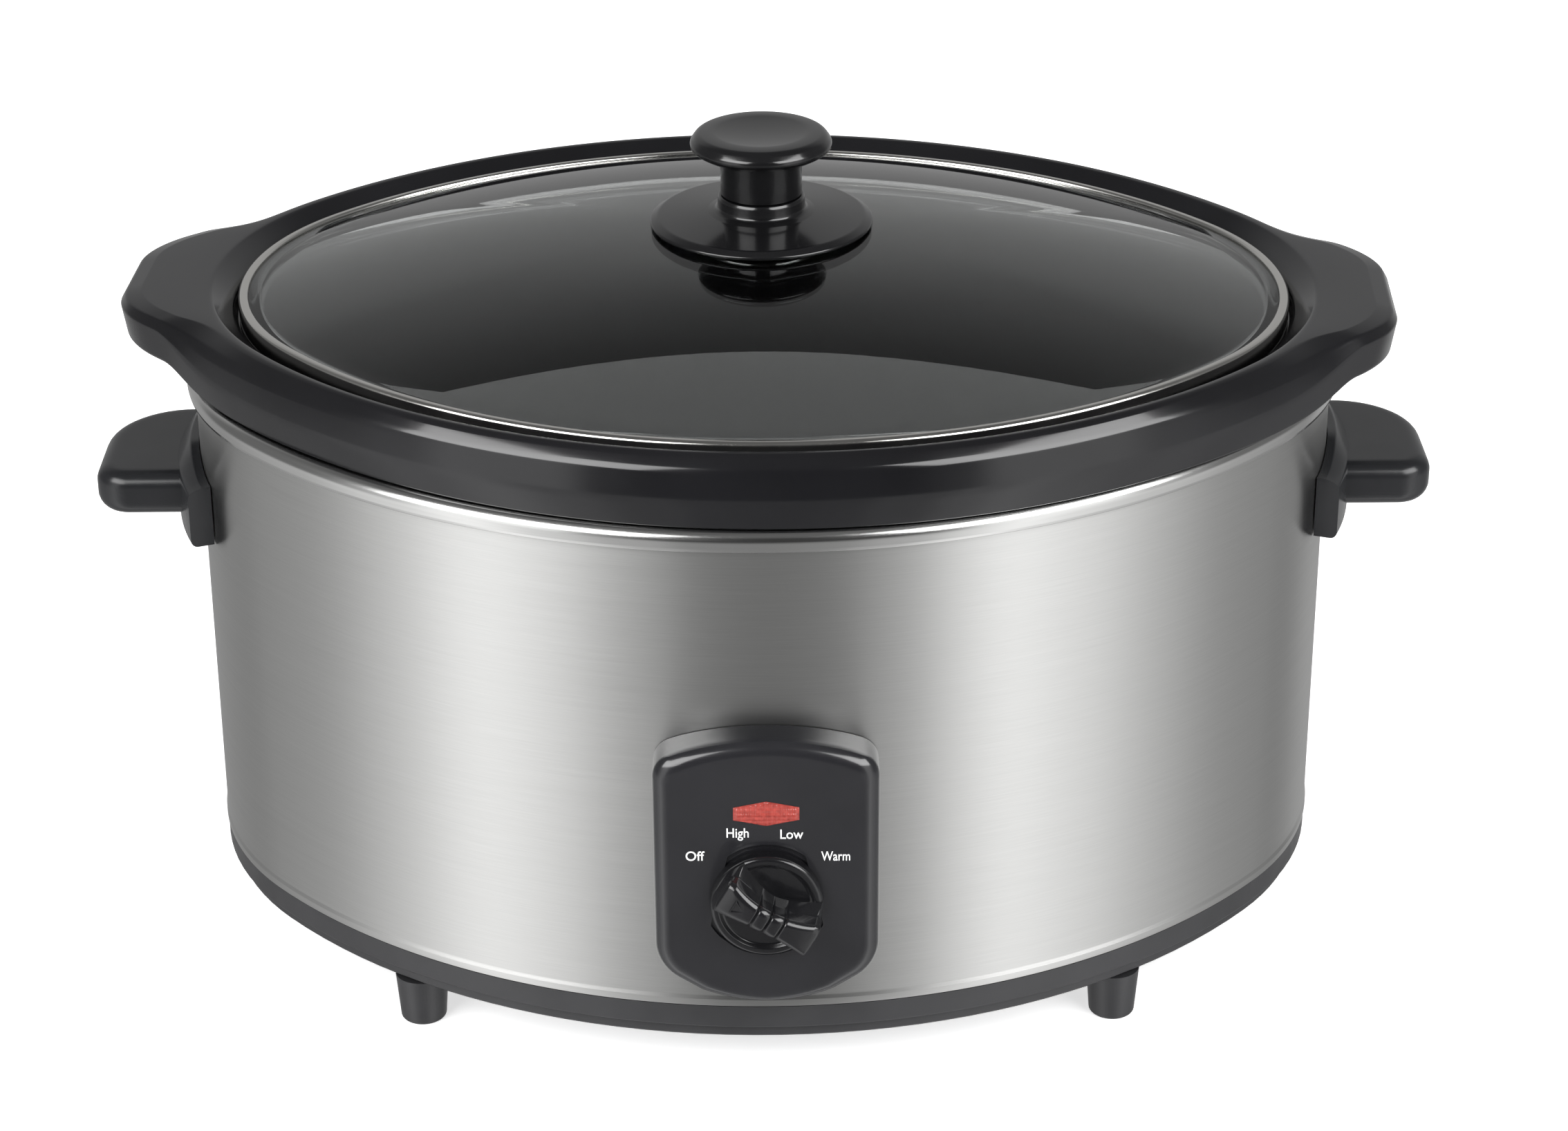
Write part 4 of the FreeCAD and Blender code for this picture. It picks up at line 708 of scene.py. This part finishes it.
def make_lens():
    """The lamp's lens: a long hexagon with a ridge along it and diamond prisms over it."""
    low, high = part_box("indicator_lens")
    half, tall, side = high.x, (high.z - low.z) / 2, 2.0 * MM
    middle, front, back = middle_height("indicator_lens"), low.y + 0.9 * MM, high.y
    columns, rows, pitch = 190, 70, 1.33 * MM
    points, faces = [], []
    for column in range(columns + 1):
        x = half * (2 * column / columns - 1)
        local = side + (tall - side) * (1 - abs(x) / half)
        for row in range(rows + 1):
            up = 2 * row / rows - 1
            z = local * up
            inside = min((half - abs(x)) / (0.9 * MM), (local - abs(z)) / (0.6 * MM), 1)
            prism = math.cos(math.pi * (x + z) / pitch) * math.cos(math.pi * (x - z) / pitch)
            rise = inside * (0.55 * MM * (1 - abs(up)) + 0.15 * MM * prism) + 0.3 * MM * min(1, inside * 2)
            points.append((x, front - rise, middle + z))
    for column in range(columns):
        for row in range(rows):
            corner = column * (rows + 1) + row
            faces.append((corner, corner + rows + 1, corner + rows + 2, corner + 1))
    border = [column * (rows + 1) for column in range(columns + 1)]
    border += [columns * (rows + 1) + row for row in range(1, rows + 1)]
    border += [column * (rows + 1) + rows for column in range(columns - 1, -1, -1)]
    border += list(range(rows - 1, 0, -1))
    start = len(points)
    points += [(points[spot][0], back, points[spot][2]) for spot in border]
    for number, spot in enumerate(border):
        following = (number + 1) % len(border)
        faces.append((spot, border[following], start + following, start + number))
    faces.append(tuple(range(start, len(points))))
    make_object("lamp_lens", points, faces, LENS, "housing", replaced=["indicator_lens"], slot="lens_red", sharp=25)


def make_legend():
    """The four words round the dial, each with its place from the dial's centre and its narrowing."""
    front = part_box("control_panel")[0].y
    centre = Vector((0, front, middle_height("control_knob")))
    words = {"Off": (-20.3, 14.4, 0.93), "High": (-8.1, 21.8, 0.83),
             "Low": (7.0, 21.3, 0.88), "Warm": (19.6, 14.1, 0.73)}
    for word, (across, up, narrow) in words.items():
        text = bpy.data.curves.new("legend_" + word, "FONT")
        text.body = word
        text.size = 4.3 * MM
        text.align_x = "CENTER"
        text.align_y = "CENTER"
        text.extrude = 0.02 * MM
        text.offset = 0.03 * MM
        text.resolution_u = 6
        thing = bpy.data.objects.new("legend_" + word, text)
        thing.rotation_euler = (math.pi / 2, 0, 0)
        thing.scale = (narrow, 1, 1)
        thing.location = centre + Vector((across * MM, -0.02 * MM, up * MM))
        text.materials.append(INK)
        bpy.context.scene.collection.objects.link(thing)
        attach(thing, "housing")


# ---------------------------------------------------------------- stage, light and camera

# Brightness by angle from the front in degrees: below the horizon, where the steel wall mirrors the room,
# and above it, where the black pieces mirror the soft boxes.
LOW_RING = [
    (-180, 0.5), (-140, 0.45), (-118, 0.42), (-92, 0.62), (-70, 1.10), (-54, 1.62), (-38, 1.05), (-26, 0.62),
    (-19, 0.58), (-14, 0.36), (0, 0.32), (15, 0.38), (20, 0.60), (27, 0.66), (36, 1.15), (46, 1.62),
    (58, 1.25), (75, 0.88), (95, 0.55), (118, 0.38), (140, 0.6), (180, 0.5)]
HIGH_RING = [
    (-180, 0.5), (-140, 0.5), (-118, 0.2), (-84, 0.2), (-66, 0.7), (-56, 1.5), (-38, 1.5), (-29, 0.3),
    (-20, 0.06), (0, 0.04), (22, 0.06), (32, 0.3), (40, 1.5), (60, 1.5), (70, 0.7), (86, 0.2), (118, 0.2),
    (140, 0.5), (180, 0.5)]
CEILING = 0.15


def make_world():
    """A soft studio: two rings of light that vary round the horizon, and an even ceiling over them."""
    world = bpy.data.worlds.new("studio")
    bpy.context.scene.world = world
    world.use_nodes = True
    tree = world.node_tree
    tree.nodes.clear()

    def node(kind, **settings):
        made = tree.nodes.new("ShaderNode" + kind)
        for name, setting in settings.items():
            setattr(made, name, setting)
        return made

    def feed(target, source):
        if isinstance(source, (int, float)):
            target.default_value = source
        else:
            tree.links.new(source, target)

    def math_node(operation, *sources):
        made = node("Math", operation=operation)
        for number, source in enumerate(sources):
            feed(made.inputs[number], source)
        return made.outputs[0]

    def fade(source, start, stop):
        made = node("MapRange", interpolation_type="SMOOTHSTEP")
        settings = {"Value": source, "From Min": start, "From Max": stop, "To Min": 0.0, "To Max": 1.0}
        for name, setting in settings.items():
            feed(made.inputs[name], setting)
        return made.outputs["Result"]

    def mix(factor, first, second):
        made = node("Mix", data_type="FLOAT")
        for name, source in (("Factor", factor), ("A", first), ("B", second)):
            feed(made.inputs[name], source)
        return made.outputs["Result"]

    direction = node("TexCoord").outputs["Generated"]
    split = node("SeparateXYZ")
    tree.links.new(direction, split.inputs[0])
    across, back, up = split.outputs
    angle = math_node("ARCTAN2", across, math_node("MULTIPLY", back, -1))
    share = math_node("ADD", math_node("DIVIDE", angle, FULL_TURN), 0.5)
    rings = []
    for levels in (LOW_RING, HIGH_RING):
        ramp = node("ValToRGB")
        ramp.color_ramp.interpolation = "EASE"
        brightest = max(level for _, level in levels)
        while len(ramp.color_ramp.elements) < len(levels):
            ramp.color_ramp.elements.new(0.5)
        for _ in range(2):  # stops change order while they are moved
            for stop, (degrees, level) in zip(ramp.color_ramp.elements, levels):
                stop.position = degrees / 360 + 0.5
                stop.color = (*[level / brightest] * 3, 1)
        tree.links.new(share, ramp.inputs["Fac"])
        rings.append(math_node("MULTIPLY", ramp.outputs["Color"], brightest))
    horizon = mix(fade(up, -0.25, -0.02), *rings)
    mixed = mix(fade(up, 0.45, 0.85), horizon, CEILING)
    background = node("Background")
    tree.links.new(mixed, background.inputs["Strength"])
    output = node("OutputWorld")
    tree.links.new(background.outputs[0], output.inputs[0])


def make_floor():
    """A plain pale floor, left out of mirror reflections so that the steel shows the soft boxes."""
    mesh = bpy.data.meshes.new("floor")
    half = 6.0
    corners = [(-half, -half, 0), (half, -half, 0), (half, half, 0), (-half, half, 0)]
    mesh.from_pydata(corners, [], [(0, 1, 2, 3)])
    floor = bpy.data.objects.new("floor", mesh)
    bpy.context.scene.collection.objects.link(floor)
    shader = Shader("pale_floor", (0.93, 0.93, 0.93), Roughness=0.9, Specular_IOR_Level=0.0)
    shader.shade(shader.noise(3, 2), 0.995, 1.0)
    shader.main.inputs["Emission Color"].default_value = (1, 1, 1, 1)
    shader.main.inputs["Emission Strength"].default_value = 0.65
    floor.data.materials.append(shader.material)
    floor.visible_glossy = False


def add_area(name, place, target, size, energy):
    """A rectangular area light that faces a target."""
    light = bpy.data.lights.new(name, "AREA")
    light.shape = "RECTANGLE"
    light.size, light.size_y = size
    light.energy = energy
    thing = bpy.data.objects.new(name, light)
    thing.location = place
    thing.rotation_euler = (Vector(target) - Vector(place)).to_track_quat("-Z", "Y").to_euler()
    bpy.context.scene.collection.objects.link(thing)
    return thing


def make_lights():
    """A broad light overhead, left out of reflections, and two soft boxes in front."""
    overhead = add_area("overhead", (0, 0.2, 2.4), (0, 0, 0), (2.6, 2.6), 30)
    overhead.visible_glossy = False
    for name, side, turn in (("softbox_left", -1, 45), ("softbox_right", 1, 50)):
        turn, lift, away = math.radians(turn), math.radians(36), 2.0
        place = (side * away * math.sin(turn) * math.cos(lift), -away * math.cos(turn) * math.cos(lift),
                 away * math.sin(lift))
        add_area(name, place, (0, 0, 0.15), (1.5, 0.9), 26)


def make_camera():
    """The camera looks down at the middle of the cooker, with a slightly long lens."""
    elevation, distance, roll = math.radians(26.0), 1.1987, math.radians(0.45)
    target = Vector((0, 0, 0.1044))
    camera = bpy.data.cameras.new("camera")
    camera.sensor_width = 36
    camera.lens = 87.75
    camera.shift_x, camera.shift_y = 0.0126, 0.002
    thing = bpy.data.objects.new("camera", camera)
    thing.location = target + distance * Vector((0, -math.cos(elevation), math.sin(elevation)))
    upright = Matrix.Rotation(math.pi / 2 - elevation, 4, "X") @ Matrix.Rotation(-roll, 4, "Z")
    thing.rotation_euler = upright.to_euler()
    bpy.context.scene.collection.objects.link(thing)
    bpy.context.scene.camera = thing
    bpy.context.scene.view_settings.view_transform = "Standard"


make_camera()
dress_frame()
make_wall()
make_well()
make_crock()
make_rim_band()
make_glass()
make_knob()
make_panel()
make_handles()
make_dial()
make_lens()
make_legend()
make_world()
make_floor()
make_lights()
